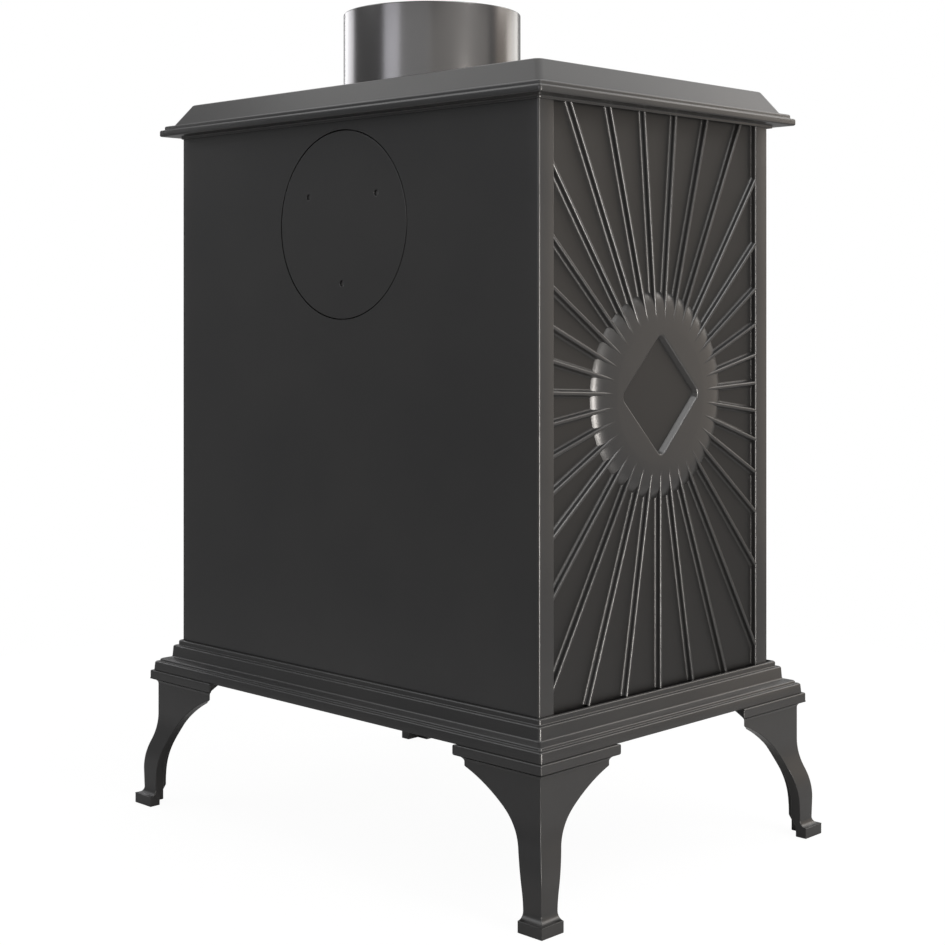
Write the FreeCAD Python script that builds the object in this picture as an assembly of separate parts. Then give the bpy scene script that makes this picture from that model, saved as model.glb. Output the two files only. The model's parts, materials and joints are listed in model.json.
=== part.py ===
import FreeCAD, Part
import math
import os

# Cast iron stove on four legs, in millimetres.
# +Z is up, the door faces -Y, the floor is z = 0 and the origin is under the middle of the whole stove.
# Left and right are those of a person who stands in front of the door.

Vec = FreeCAD.Vector

# Body
body_width = 305.0          # across the outer faces of the side panels
side_depth = 202.0          # from the back face to the front edge of a side panel
front_proud = 4.0           # the front frame stands this far ahead of the side panels
panel_rise = 319.0          # panel height in view, from plinth to top plate
panel_seat = 6.0            # how far the panels stand into the plinth and the top plate
seat_gap = 0.3              # room round the panels in those seats
back_wall = 6.0
frame_lap = 4.5             # the front frame covers this much of each side panel's edge
frame_wall = 8.0

# Plinth, each step as its outward offset from the panels and its height
leg_height = 84.0
plinth_foot_out = 13.2
plinth_foot_height = 5.7
plinth_ledge_out = 10.5
plinth_ledge_height = 1.5
plinth_slope_height = 1.3
plinth_riser_out = 5.05
plinth_riser_height = 7.3
plinth_draft = 0.5
plinth_cap_out = 2.1
plinth_cap_height = 3.2
plinth_floor = 7.0
plinth_skirt = 12.0

# Top plate, from the bead below its lip up to the flat
bead_out = 2.4
bead_height = 1.6
lip_out = 10.7
lip_height = 4.0
step_out = 8.5
step_height = 2.6
bevel_out = 4.9
bevel_in = 3.8
bevel_height = 13.4
top_wall = 7.0
edge_round = 1.0
bevel_round = 3.5

# Sunburst side panels
field_wall = 5.0
relief = 4.0                # borders, disc and rays stand this far above the field
border = 12.0
ray_count = 35
ray_top = 2.4
ray_base = 4.4
ray_crown = 0.9
ray_sink = 0.1              # rays end this much below the border and the disc
ray_end_gap = 0.6           # the lowest rays stop just above the plinth
relief_root = 0.5           # rays and disc start this deep in the field
burst_height = 162.0        # disc centre above the plinth
disc_face_radius = 46.8
disc_rim_radius = 15.8
lozenge_across = 66.0
lozenge_round = 4.5
lozenge_draft = 2.0
ledge_reach = 8.0           # inner ledge that carries the fire bed
ledge_height = 6.0

# Legs, outward offsets from the panel faces and heights above the floor
leg_wall = 6.0
foot_wall = 7.2
toe_out = 21.3
toe_height = 6.2
instep_height = 10.0
instep_out = 17.2
ankle_out = 17.5
ankle_height = 22.0
knee_out = 11.0
knee_drop = 27.0            # knee, neck and arch below the top of the leg
neck_drop = 8.4
leg_cap_out = 14.65
leg_cap_height = 5.5
wing_length = 48.0          # leg cap, measured inward from the panel corner
wing_end = 43.0             # wing under the cap
wing_land = 0.8             # blunt edge at the end of the cap, in front of the mitre
arch_top_drop = 11.0
arch_low_in = 1.7           # the arch leaves the leg here and springs to the high point
arch_low_drop = 44.0
arch_high_in = 15.5
arch_high_drop = 26.2
arch_foot_out = 4.7
lug_size = 38.0
lug_wall = 5.0
leg_bolt_in = 26.0          # bolt centre, inward from both panel faces
leg_bolt_radius = 3.0
leg_bolt_grip = 15.0
boss_radius = 9.0

# Flue openings, collar and rear cover
flue_radius = 50.0
outlet_seat_lap = 4.0       # cover and collar flange reach this far past the opening
outlet_seat_gap = 0.6
outlet_plate = 3.5
gasket_wall = 0.5
collar_back = 72.4          # collar centre, forward of the back face
collar_wall = 2.45
collar_ledge = 2.0          # inner ledge the pipe stands on
collar_bore_grow = 0.8      # collar bore beyond the opening below it
collar_rise = 50.0
outlet_drop = 61.0          # rear outlet centre below the top plate
fixing_in = 16.3            # fixings inside the opening's edge
fixing_radius = 1.7
fixing_head_radius = 3.2
fixing_head_height = 3.0
fixing_recess = 1.0
ear_width = 15.0
ear_height = 6.0
clamp_lap = 8.0
clamp_wall = 4.0
clamp_ring_width = 12.0
hole_gap = 0.05             # radial room of screws and running fits
screw_pass = 0.6            # radial room where a screw only passes through

# Tie rods that hold the top plate down on the base
tie_radius = 3.0
tie_inset = 7.0             # rod centre from the inner faces
tie_grip = 4.0
tie_nut_across = 10.0
tie_nut_height = 5.0
tie_boss_radius = 8.5

# Door
sill = 9.0
ash_opening_height = 48.0
ash_lap = 4.0
air_band = 40.0             # room above the door for the air slide
door_margin = 30.5          # door edge from the outside of the side panels
door_lap = 14.0
door_gap = 2.0
door_lift = 1.0             # door stands off the frame by this much, on its rope
door_wall = 10.0
door_round = 6.0
door_bevel = 3.0
window_side = 46.0
window_top = 36.0
window_bottom = 46.0
window_round = 10.0
window_bevel = 4.0
glass_lap = 9.0
glass_wall = 4.0
glass_seal = 1.0
glass_seal_width = 7.0
clip_length = 20.0
clip_width = 14.0
clip_wall = 1.5
clip_spread = 50.0
rope_width = 8.0
rope_depth = 3.0
rope_inset = 7.0            # rope centre line from the door's edge
rope_clear = 0.4
hinge_radius = 7.0
hinge_pin_radius = 3.0
pin_head_radius = 4.5
pin_head_height = 3.0
hinge_stand = 8.0           # hinge axis ahead of the front frame
hinge_side = 7.0            # hinge axis outside the door's edge
lug_height = 10.0
knuckle_height = 11.7
hinge_end = 24.0            # lugs from the door's lower and upper ends
run_gap = 0.3
touch = 0.000001            # points closer than this are one point

# Door handle and latch
spindle_radius = 4.0
latch_hub_radius = 8.0
latch_clear = 4.0           # hub to the edge of the door opening
latch_reach = 20.0
latch_wall = 5.0
handle_stand = 31.0         # grip axis ahead of the door
handle_hub_radius = 8.0
grip_radius = 9.0
grip_neck_radius = 5.5
grip_end_radius = 5.0
grip_belly = 20.0           # widest place above the grip's lower end
grip_length = 62.0
nut_across = 13.0
nut_height = 5.0

# Air slide above the door
slide_height = 16.0
slide_wall = 3.0
slide_length = 150.0
slide_drop = 15.0           # slide's upper edge below the top plate
slide_travel = 13.0
vent_count = 5
vent_pitch = 26.0
vent_length = 12.0
vent_height = 5.0
slide_screw_spread = 66.0
slide_screw_radius = 2.0
slide_head_radius = 4.2
slide_head_height = 2.4
air_knob_radius = 6.0
air_knob_neck = 3.0
air_knob_length = 17.0
knob_flare = 1.5            # foot flange of a knob, as a multiple of its neck
knob_flange = 1.2
deflector_wall = 2.0
deflector_depth = 12.0
deflector_drop = 34.0

# Ash drawer with its turning vent
ash_margin = 52.5           # opening's side from the outside of the side panels
ash_side_gap = 4.0
ash_front_wall = 8.0
ash_front_lift = 0.5
ash_front_bevel = 2.0
ash_front_round = 3.0
pan_wall = 2.0
pan_length = 150.0
pan_height = 42.0
pan_lip = 12.0
pan_floor_gap = 1.5         # pan's underside above the sill
runner_width = 12.0
runner_in = 34.0            # runner's middle from the side of the ash opening
spin_radius = 22.0
spin_wall = 3.0
spin_hole_radius = 4.5
spin_hole_circle = 30.0
spin_hole_count = 4
spin_stub_radius = 2.5
spin_stub_length = 6.0
pull_shank_radius = 4.0
pull_neck_radius = 5.0
pull_head_radius = 9.0
pull_length = 24.0
pan_screw_in = 30.0         # from the side of the ash opening
pan_screw_radius = 2.0

# Fire bed and lining
bed_wall = 6.0
bed_below_door = 6.0
bed_gap = 0.3
grate_side_in = 46.5        # grate's edge from the side bricks
grate_end_in = 15.75        # and from the side bricks' ends
grate_wall = 6.0
grate_seat = 3.0
grate_lap = 5.0
grate_slot_width = 8.0
grate_bar_width = 6.5       # least width of a bar between two slots
brick_wall = 20.0
brick_front = 44.0          # side bricks start this far behind the frame's face
brick_rise = 52.0           # side bricks climb this much from back to front
corner_room = 18.5          # kept free in the corners for the tie rods
baffle_wall = 10.0
baffle_throat = 45.0
guard_wall = 6.0
guard_height = 30.0
guard_back = 42.0           # log guard's back face behind the frame's face
guard_slots = 7
guard_slot_width = 14.0
guard_slot_round = 5.5
guard_rim = 7.0

# Derived places
half_width = body_width / 2
side_wall = field_wall + relief
grip_axis_out = door_lift + door_wall + handle_stand
front_reach = grip_axis_out + grip_radius
whole_depth = toe_out + side_depth + front_proud + front_reach
back_y = whole_depth / 2 - toe_out
side_front_y = back_y - side_depth
front_y = side_front_y - front_proud
mid_y = (back_y + front_y) / 2
inner_x = half_width - side_wall
inner_back_y = back_y - back_wall
inner_front_y = front_y + frame_wall

knee_height = leg_height - knee_drop
neck_height = leg_height - neck_drop
arch_top = leg_height - arch_top_drop
arch_low_height = leg_height - arch_low_drop
arch_high_height = leg_height - arch_high_drop
plinth_foot_top = leg_height + plinth_foot_height
plinth_ledge_top = plinth_foot_top + plinth_ledge_height
plinth_slope_top = plinth_ledge_top + plinth_slope_height
plinth_riser_top = plinth_slope_top + plinth_riser_height
plinth_top = plinth_riser_top + plinth_cap_height
panel_bottom = plinth_top - panel_seat
plinth_under = panel_bottom - plinth_floor
plinth_neck_out = plinth_riser_out - plinth_draft
leg_bolt_end = leg_height + leg_bolt_grip - lug_wall
lip_bottom = plinth_top + panel_rise
lip_top = lip_bottom + lip_height
step_top = lip_top + step_height
top_z = step_top + bevel_height
panel_top = lip_bottom + panel_seat
top_under = top_z - top_wall
tie_top = top_under + tie_grip
outlet_z = lip_bottom - outlet_drop
collar_y = back_y - collar_back
outlet_seat_radius = flue_radius + outlet_seat_lap
collar_bore_radius = flue_radius + collar_bore_grow
collar_screw_seat = top_z - outlet_plate + ear_height
collar_ledge_z = collar_screw_seat + fixing_head_height + screw_pass
collar_radius = collar_bore_radius + collar_wall
fixing_ring = flue_radius - fixing_in
outlet_seat = outlet_plate + gasket_wall
fixing_places = [math.radians(angle) for angle in (-90, 30, 150)]

ash_bottom = plinth_top + sill
ash_top = ash_bottom + ash_opening_height
ash_half = half_width - ash_margin
pan_screw_spread = ash_half - pan_screw_in
runner_spread = ash_half - runner_in
ash_front_bottom = ash_bottom - ash_lap
ash_front_top = ash_top + ash_lap
door_bottom = ash_front_top + door_gap
door_top = lip_bottom - air_band
door_half = half_width - door_margin
door_mid_z = (door_bottom + door_top) / 2
door_back_y = front_y - door_lift
door_front_y = door_back_y - door_wall
bed_top = door_bottom + door_lap - bed_below_door
bed_bottom = bed_top - bed_wall
spindle_x = door_half - door_lap - latch_clear - latch_hub_radius
grip_top = door_mid_z - 2 * handle_hub_radius
hinge_x = -door_half - hinge_side
hinge_y = front_y - hinge_stand
hinge_lug_bottoms = (door_bottom + hinge_end, door_top - hinge_end - lug_height - knuckle_height)
tie_x = inner_x - tie_inset
tie_ys = (inner_back_y - tie_inset, inner_front_y + tie_inset)
pan_bottom = ash_bottom + pan_floor_gap
clamp_radius = flue_radius + clamp_lap
brick_back_top = outlet_z - clamp_radius - door_gap
brick_back_y = inner_back_y - corner_room
brick_front_y = front_y + brick_front
grate_y = (brick_front_y + brick_back_y) / 2
grate_width = 2 * (inner_x - brick_wall - grate_side_in)
grate_depth = brick_back_y - brick_front_y - 2 * grate_end_in
slotted_width = grate_width - 4 * grate_lap
grate_slots = int(slotted_width / (grate_slot_width + grate_bar_width))
slide_top = lip_bottom - slide_drop
slide_mid_z = slide_top - slide_height / 2


def level(z):
    """Plan points at a height."""
    return lambda a, b: Vec(a, b, z)


def facing_front(y):
    """Points of an elevation seen from the front, at a depth."""
    return lambda a, b: Vec(a, y, b)


def facing_side(x):
    """Points of an elevation seen from the side, at a distance from the middle."""
    return lambda a, b: Vec(x, a, b)


def outline(steps, place):
    """Closed face through points; a pair of points is an arc by way of the first to the second."""
    start = place(*steps[0])
    here = start
    edges = []
    for step in steps[1:]:
        if isinstance(step[0], tuple):
            via, end = [place(*point) for point in step]
            edges.append(Part.Arc(here, via, end).toShape())
        else:
            end = place(*step)
            edges.append(Part.LineSegment(here, end).toShape())
        here = end
    if not here.isEqual(start, touch):
        edges.append(Part.LineSegment(here, start).toShape())
    return Part.Face(Part.Wire(edges))


def tangent_arc(start, heading, end):
    """Arc that leaves a point at a heading and ends at another, and its heading there."""
    run = end[0] - start[0]
    rise = end[1] - start[1]
    swing = math.atan2(rise, run) - heading
    reach = math.hypot(run, rise) / 2 / math.cos(swing / 2)
    middle = heading + swing / 2
    via = (start[0] + reach * math.cos(middle), start[1] + reach * math.sin(middle))
    return (via, end), heading + 2 * swing


def rounded(a0, a1, b0, b1, radius, place):
    """Face of a rectangle with rounded corners."""
    bend = radius * (1 - math.sqrt(0.5))
    start = (a0 + radius, b0)
    steps = [
        start, (a1 - radius, b0),
        ((a1 - bend, b0 + bend), (a1, b0 + radius)), (a1, b1 - radius),
        ((a1 - bend, b1 - bend), (a1 - radius, b1)), (a0 + radius, b1),
        ((a0 + bend, b1 - bend), (a0, b1 - radius)), (a0, b0 + radius),
        ((a0 + bend, b0 + bend), start),
    ]
    return outline(steps, place)


def box(x0, x1, y0, y1, z0, z1):
    return Part.makeBox(x1 - x0, y1 - y0, z1 - z0, Vec(x0, y0, z0))


def rod(radius, start, end):
    axis = end.sub(start)
    return Part.makeCylinder(radius, axis.Length, start, axis)


def upright(radius, x, y, z0, z1):
    return rod(radius, Vec(x, y, z0), Vec(x, y, z1))


def along_y(radius, x, z, y0, y1):
    return rod(radius, Vec(x, y0, z), Vec(x, y1, z))


def hexagon(across, x, y, z0, z1):
    """Upright hexagon bar by its width across flats."""
    corner = across / math.sqrt(3)
    turns = [math.radians(60 * k) for k in range(6)]
    points = [(x + corner * math.cos(t), y + corner * math.sin(t)) for t in turns]
    return outline(points, level(z0)).extrude(Vec(0, 0, z1 - z0))


def fused(shapes):
    return shapes[0].multiFuse(shapes[1:]).removeSplitter()


def body_face(offset, z, radius):
    """Plan of the whole body, panels and front frame, grown outward by an offset."""
    right = half_width + offset
    return rounded(-right, right, front_y - offset, back_y + offset, radius, level(z))


def tier(low_out, low_z, high_out, high_z, radius):
    """One moulding step round the body, from one offset and height to the next."""
    low = body_face(low_out, low_z, radius).OuterWire
    high = body_face(high_out, high_z, radius).OuterWire
    return Part.makeLoft([low, high], True, True)


def body_block(offset, z0, z1):
    return box(-half_width - offset, half_width + offset, front_y - offset, back_y + offset, z0, z1)


def at_four_corners(make):
    """The same thing at the four tie rods."""
    return [make(x, y) for x in (-tie_x, tie_x) for y in tie_ys]


def leg_bolt_centres():
    xs = (-half_width + leg_bolt_in, half_width - leg_bolt_in)
    ys = (front_y + leg_bolt_in, back_y - leg_bolt_in)
    return [(x, y) for x in xs for y in ys]


def base_plinth():
    """Stepped base casting with a floor, a hollow underside and bosses for the leg bolts."""
    steps = [
        tier(plinth_foot_out, leg_height, plinth_foot_out - plinth_draft, plinth_foot_top, edge_round),
        tier(plinth_ledge_out, plinth_foot_top, plinth_ledge_out, plinth_ledge_top, edge_round),
        tier(plinth_ledge_out, plinth_ledge_top, plinth_riser_out, plinth_slope_top, edge_round),
        tier(plinth_riser_out, plinth_slope_top, plinth_neck_out, plinth_riser_top, edge_round),
        tier(plinth_cap_out, plinth_riser_top, plinth_cap_out, plinth_top, edge_round),
    ]
    casting = fused(steps)
    casting = casting.cut(body_block(seat_gap, panel_bottom, plinth_top + panel_seat))
    casting = casting.cut(body_block(plinth_foot_out - plinth_skirt, leg_height - panel_seat, plinth_under))
    bosses = [upright(boss_radius, x, y, leg_height, panel_bottom) for x, y in leg_bolt_centres()]
    casting = fused([casting] + bosses)
    for x, y in leg_bolt_centres():
        casting = casting.cut(upright(leg_bolt_radius + hole_gap, x, y, 0, leg_bolt_end))
    for hole in at_four_corners(lambda x, y: upright(tie_radius + screw_pass, x, y, 0, plinth_top)):
        casting = casting.cut(hole)
    return casting


def s_curve(start, end):
    """Two tangent arcs between two uprights, turning at the point half way."""
    middle = ((start[0] + end[0]) / 2, (start[1] + end[1]) / 2)
    away = math.copysign(math.pi / 2, end[1] - start[1])
    first, heading = tangent_arc(start, away, middle)
    second, heading = tangent_arc(middle, heading, end)
    return [first, second]


def cove(start, end):
    """Hollow quarter arc from an outer edge in to a neck below it."""
    bend = 1 - math.sqrt(0.5)
    via = (end[0] + (start[0] - end[0]) * bend, start[1] + (end[1] - start[1]) * bend)
    return (via, end)


def leg_outer_side():
    """Outer face of a leg from cap to toe, as outward offset and height."""
    cap_bottom = leg_height - leg_cap_height
    toe_bend = cove((toe_out, toe_height), (instep_out, instep_height))[0]
    side = [(leg_cap_out, leg_height), (leg_cap_out, cap_bottom)]
    side.append(cove((leg_cap_out, cap_bottom), (knee_out, neck_height)))
    side.append((knee_out, knee_height))
    side.extend(s_curve((knee_out, knee_height), (ankle_out, ankle_height)))
    side.append((instep_out, instep_height))
    side.append((toe_bend, (toe_out, toe_height)))
    side.append((toe_out, 0))
    return side


def leg_section():
    """Wall of a leg in section: the outer face and, one wall inside it, the inner face."""
    inner = [(toe_out - foot_wall, 0), (toe_out - foot_wall, toe_height)]
    inner.append((instep_out - leg_wall, instep_height))
    inner.append((ankle_out - leg_wall, ankle_height))
    inner.extend(s_curve((ankle_out - leg_wall, ankle_height), (knee_out - leg_wall, knee_height)))
    inner.append((knee_out - leg_wall, leg_height))
    return leg_outer_side() + inner


def leg_elevation():
    """A wing of a leg seen square on: toe and arch, up to the end of the cap."""
    inner = [(arch_foot_out, 0), (arch_foot_out, instep_height)]
    heading = math.pi / 2
    here = inner[-1]
    springs = ((arch_low_in, arch_low_height), (arch_high_in, arch_high_height), (wing_end, arch_top))
    for reach, height in springs:
        arc, heading = tangent_arc(here, heading, (-reach, height))
        inner.append(arc)
        here = (-reach, height)
    inner.append((-wing_length, arch_top))
    inner.append((-wing_length, leg_height))
    return leg_outer_side() + inner


def wing_mitre(place):
    """Wedge that cuts the end of a wing back behind the cap's edge."""
    blunt = leg_cap_out - wing_land
    slope = (wing_length - wing_end) / (blunt - knee_out)
    inside = knee_out - leg_wall
    corner = slope * (blunt - inside) - wing_length
    plan = outline([(-wing_length, blunt), (-wing_length, inside), (corner, inside)], place)
    return plan.extrude(Vec(0, 0, leg_height))


def rear_right_leg():
    """Angle section leg with two arched wings, a moulded cap, a toe and a bolt lug."""
    span = wing_length + toe_out
    to_x = lambda out: half_width + out
    to_y = lambda out: back_y + out
    section_y = outline(leg_section(), lambda out, z: Vec(to_x(-wing_length), to_y(out), z))
    section_x = outline(leg_section(), lambda out, z: Vec(to_x(out), to_y(-wing_length), z))
    face_x = outline(leg_elevation(), lambda out, z: Vec(to_x(out), to_y(-wing_length), z))
    face_y = outline(leg_elevation(), lambda out, z: Vec(to_x(-wing_length), to_y(out), z))
    back_wing = section_y.extrude(Vec(span, 0, 0)).common(face_x.extrude(Vec(0, span, 0)))
    side_wing = section_x.extrude(Vec(0, span, 0)).common(face_y.extrude(Vec(span, 0, 0)))
    back_wing = back_wing.cut(wing_mitre(lambda along, out: Vec(to_x(along), to_y(out), 0)))
    side_wing = side_wing.cut(wing_mitre(lambda along, out: Vec(to_x(out), to_y(along), 0)))
    outer = knee_out - leg_wall
    inner = outer - lug_size
    lug = box(to_x(inner), to_x(outer), to_y(inner), to_y(outer), leg_height - lug_wall, leg_height)
    leg = fused([back_wing, side_wing, lug])
    bolt_x = to_x(-leg_bolt_in)
    bolt_y = to_y(-leg_bolt_in)
    return leg.cut(upright(leg_bolt_radius + screw_pass, bolt_x, bolt_y, 0, leg_height))


def leg_bolts():
    """Hexagon bolts up through the leg lugs into the base."""
    seat = leg_height - lug_wall
    bolts = []
    for x, y in leg_bolt_centres():
        head = hexagon(tie_nut_across, x, y, seat - tie_nut_height, seat)
        shank = upright(leg_bolt_radius, x, y, seat, leg_bolt_end)
        bolts.append(fused([head, shank]))
    return Part.makeCompound(bolts)


def back_panel():
    """Plain back plate between the side panels, with the rear outlet and the seat of its cover."""
    plate = box(-inner_x, inner_x, inner_back_y, back_y, panel_bottom, panel_top)
    plate = plate.cut(along_y(flue_radius, 0, outlet_z, inner_back_y, back_y))
    seat_radius = outlet_seat_radius + outlet_seat_gap
    return plate.cut(along_y(seat_radius, 0, outlet_z, back_y - outlet_seat, back_y))


def fixing_centres(a, b):
    """The three fixings round an outlet's centre."""
    return [(a + fixing_ring * math.cos(turn), b + fixing_ring * math.sin(turn)) for turn in fixing_places]


def rear_cover():
    """Flush round cover of the rear outlet, tapped for three screws."""
    cover = along_y(outlet_seat_radius, 0, outlet_z, back_y - outlet_plate, back_y)
    for x, z in fixing_centres(0, outlet_z):
        cover = cover.cut(along_y(fixing_radius + hole_gap, x, z, back_y - outlet_plate, back_y))
    return cover


def rear_cover_gasket():
    ring = along_y(outlet_seat_radius, 0, outlet_z, back_y - outlet_seat, back_y - outlet_plate)
    return ring.cut(along_y(flue_radius, 0, outlet_z, back_y - outlet_seat, back_y))


def clamp_ring(hole):
    """Ring with three inward ears, flat on the level z = 0 and below it, about the Z axis."""
    ring = upright(clamp_radius, 0, 0, -clamp_wall, 0)
    ring = ring.cut(upright(clamp_radius - clamp_ring_width, 0, 0, -clamp_wall, 0))
    return with_ears(ring, clamp_radius - clamp_ring_width / 2, -clamp_wall, 0, hole)


def with_ears(ring, outer, z0, z1, hole):
    """Add three inward ears with rounded ends and a screw hole each to a ring about the Z axis."""
    parts = [ring]
    for turn in fixing_places:
        arm = box(fixing_ring, outer, -ear_width / 2, ear_width / 2, z0, z1)
        tip = upright(ear_width / 2, fixing_ring, 0, z0, z1)
        ear = fused([arm, tip])
        ear.rotate(Vec(0, 0, 0), Vec(0, 0, 1), math.degrees(turn))
        parts.append(ear)
    whole = fused(parts)
    for x, y in fixing_centres(0, 0):
        whole = whole.cut(upright(hole, x, y, z0, z1))
    return whole


def rear_cover_clamp():
    """Clamp ring inside the back panel that the cover's screws pull against."""
    ring = clamp_ring(fixing_radius + screw_pass)
    ring.rotate(Vec(0, 0, 0), Vec(1, 0, 0), 90)
    ring.translate(Vec(0, inner_back_y - clamp_wall, outlet_z))
    return ring


def rear_cover_screws():
    """Screws from inside, with ends just below the cover's outer face."""
    seat = inner_back_y - clamp_wall
    screws = []
    for x, z in fixing_centres(0, outlet_z):
        head = along_y(fixing_head_radius, x, z, seat - fixing_head_height, seat)
        shank = along_y(fixing_radius, x, z, seat, back_y - fixing_recess)
        screws.append(fused([head, shank]))
    return Part.makeCompound(screws)


def ray(turn, reach):
    """One sunburst ray on the left panel: a rib with drafted sides and a round crown."""
    field_x = -half_width + relief
    centre_y = (back_y + side_front_y) / 2
    centre_z = plinth_top + burst_height
    along = (math.cos(turn), math.sin(turn))
    across = (-along[1], along[0])
    height = relief - ray_sink

    def place(side, rise):
        y = centre_y + along[0] * disc_face_radius + across[0] * side
        z = centre_z + along[1] * disc_face_radius + across[1] * side
        return Vec(field_x - rise, y, z)

    root = -relief_root
    section = [(-ray_base / 2, root), (-ray_base / 2, 0), (-ray_top / 2, height - ray_crown)]
    section.append(((0, height), (ray_top / 2, height - ray_crown)))
    section.extend([(ray_base / 2, 0), (ray_base / 2, root)])
    return outline(section, place).extrude(Vec(0, along[0] * reach, along[1] * reach))


def sunburst_disc():
    """Round boss of the sunburst, a flat face with a large rounded rim."""
    field_x = -half_width + relief
    centre = Vec(field_x, (back_y + side_front_y) / 2, plinth_top + burst_height)
    drop = disc_rim_radius - relief
    run = math.sqrt(disc_rim_radius ** 2 - drop ** 2)
    half_turn = (math.pi / 2 + math.asin(drop / disc_rim_radius)) / 2
    reach = disc_face_radius + disc_rim_radius * math.cos(half_turn)
    via = (reach, disc_rim_radius * math.sin(half_turn) - drop)
    rim = disc_face_radius + run
    root = -relief_root
    section = [(0, root), (0, relief), (disc_face_radius, relief), (via, (rim, 0)), (rim, root)]
    face = outline(section, lambda r, rise: Vec(centre.x - rise, centre.y + r, centre.z))
    return face.revolve(centre, Vec(1, 0, 0), 360)


def lozenge_recess():
    """Sunk lozenge in the disc, with drafted walls and rounded corners."""
    centre_y = (back_y + side_front_y) / 2
    centre_z = plinth_top + burst_height
    half_side = (lozenge_across / 2 + lozenge_round * (math.sqrt(2) - 1)) / math.sqrt(2)

    slant = math.sqrt(0.5)

    def loop(half, radius, x):
        turned = lambda a, b: Vec(x, centre_y + (a - b) * slant, centre_z + (a + b) * slant)
        return rounded(-half, half, -half, half, radius, turned).OuterWire

    mouth = loop(half_side, lozenge_round, -half_width)
    floor = loop(half_side - lozenge_draft, lozenge_round - lozenge_draft, -half_width + relief)
    return Part.makeLoft([mouth, floor], True, True)


def side_panel_left():
    """Sunburst panel: field, two borders, rays, disc and lozenge, with a ledge for the fire bed inside."""
    field_x = -half_width + relief
    plate = box(field_x, -inner_x, side_front_y, back_y, panel_bottom, panel_top)
    front_border = box(-half_width, field_x, side_front_y, side_front_y + border, panel_bottom, panel_top)
    back_border = box(-half_width, field_x, back_y - border, back_y, panel_bottom, panel_top)
    reach = math.hypot(side_depth, panel_rise)
    turns = [math.radians(360 * k / ray_count - 90) for k in range(ray_count)]
    rays = Part.makeCompound([ray(turn, reach) for turn in turns])
    front = side_front_y + border / 2
    rear = back_y - border / 2
    low = plinth_top + ray_end_gap
    rays = rays.common(box(-half_width - relief, field_x + relief, front, rear, low, panel_top))
    panel = fused([plate, front_border, back_border, sunburst_disc()] + rays.Solids)
    panel = panel.cut(lozenge_recess())
    ledge_low = bed_bottom - ledge_height
    ledge = box(-inner_x, -inner_x + ledge_reach, brick_front_y, brick_back_y, ledge_low, bed_bottom)
    return fused([panel, ledge])


def mirrored_x(shape):
    return shape.mirror(Vec(0, 0, 0), Vec(1, 0, 0))


def mirrored_y(shape):
    return shape.mirror(Vec(0, mid_y, 0), Vec(0, 1, 0))


def top_plate():
    """Bevelled hob plate with a stepped lip, seated on the panels, with the flue opening."""
    steps = [
        tier(bead_out, lip_bottom - bead_height, bead_out, lip_bottom, edge_round),
        tier(lip_out, lip_bottom, lip_out, lip_top, edge_round),
        tier(step_out, lip_top, step_out, step_top, edge_round),
        tier(bevel_out, step_top, -bevel_in, top_z, bevel_round),
    ]
    plate = fused(steps)
    plate = plate.cut(body_block(seat_gap, lip_bottom - 2 * bead_height, panel_top))
    plate = plate.cut(box(-inner_x, inner_x, inner_front_y, inner_back_y, panel_top, top_under))
    bosses = at_four_corners(lambda x, y: upright(tie_boss_radius, x, y, panel_top, top_z - top_wall / 2))
    plate = fused([plate] + bosses)
    holes = at_four_corners(lambda x, y: upright(tie_radius + hole_gap, x, y, panel_top, tie_top))
    holes.append(upright(flue_radius, 0, collar_y, panel_top, top_z))
    holes.append(upright(outlet_seat_radius + outlet_seat_gap, 0, collar_y, top_z - outlet_seat, top_z))
    for hole in holes:
        plate = plate.cut(hole)
    return plate


def flue_collar():
    """Flue spigot with a flange flush in the hob, a ledge for the pipe and three ears at its foot."""
    foot = top_z - outlet_plate
    rim = top_z + collar_rise
    tube = upright(collar_radius, 0, 0, foot, rim)
    flange = upright(outlet_seat_radius, 0, 0, foot, top_z)
    tube = fused([tube, flange]).cut(upright(collar_bore_radius, 0, 0, collar_ledge_z, rim))
    tube = tube.cut(upright(collar_bore_radius - collar_ledge, 0, 0, foot, collar_ledge_z))
    middle = (collar_bore_radius + collar_radius) / 2
    collar = with_ears(tube, middle, foot, collar_screw_seat, fixing_radius + screw_pass)
    collar.translate(Vec(0, collar_y, 0))
    return collar


def collar_gasket():
    ring = upright(outlet_seat_radius, 0, collar_y, top_z - outlet_seat, top_z - outlet_plate)
    return ring.cut(upright(flue_radius, 0, collar_y, top_z - outlet_seat, top_z))


def collar_clamp():
    """Clamp ring under the hob, tapped for the collar's screws."""
    ring = clamp_ring(fixing_radius + hole_gap)
    ring.translate(Vec(0, collar_y, top_under))
    return ring


def collar_screws():
    head_top = collar_screw_seat + fixing_head_height
    screws = []
    for x, y in fixing_centres(0, collar_y):
        head = upright(fixing_head_radius, x, y, collar_screw_seat, head_top)
        shank = upright(fixing_radius, x, y, top_under - clamp_wall - fixing_recess, collar_screw_seat)
        screws.append(fused([head, shank]))
    return Part.makeCompound(screws)


def tie_rods():
    low = plinth_under - tie_nut_height
    return Part.makeCompound(at_four_corners(lambda x, y: upright(tie_radius, x, y, low, tie_top)))


def tie_nuts():
    def nut(x, y):
        blank = hexagon(tie_nut_across, x, y, plinth_under - tie_nut_height, plinth_under)
        return blank.cut(upright(tie_radius + hole_gap, x, y, 0, plinth_under))

    return Part.makeCompound(at_four_corners(nut))


def vent_centres():
    first = -vent_pitch * (vent_count - 1) / 2
    return [first + vent_pitch * k for k in range(vent_count)]


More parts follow.
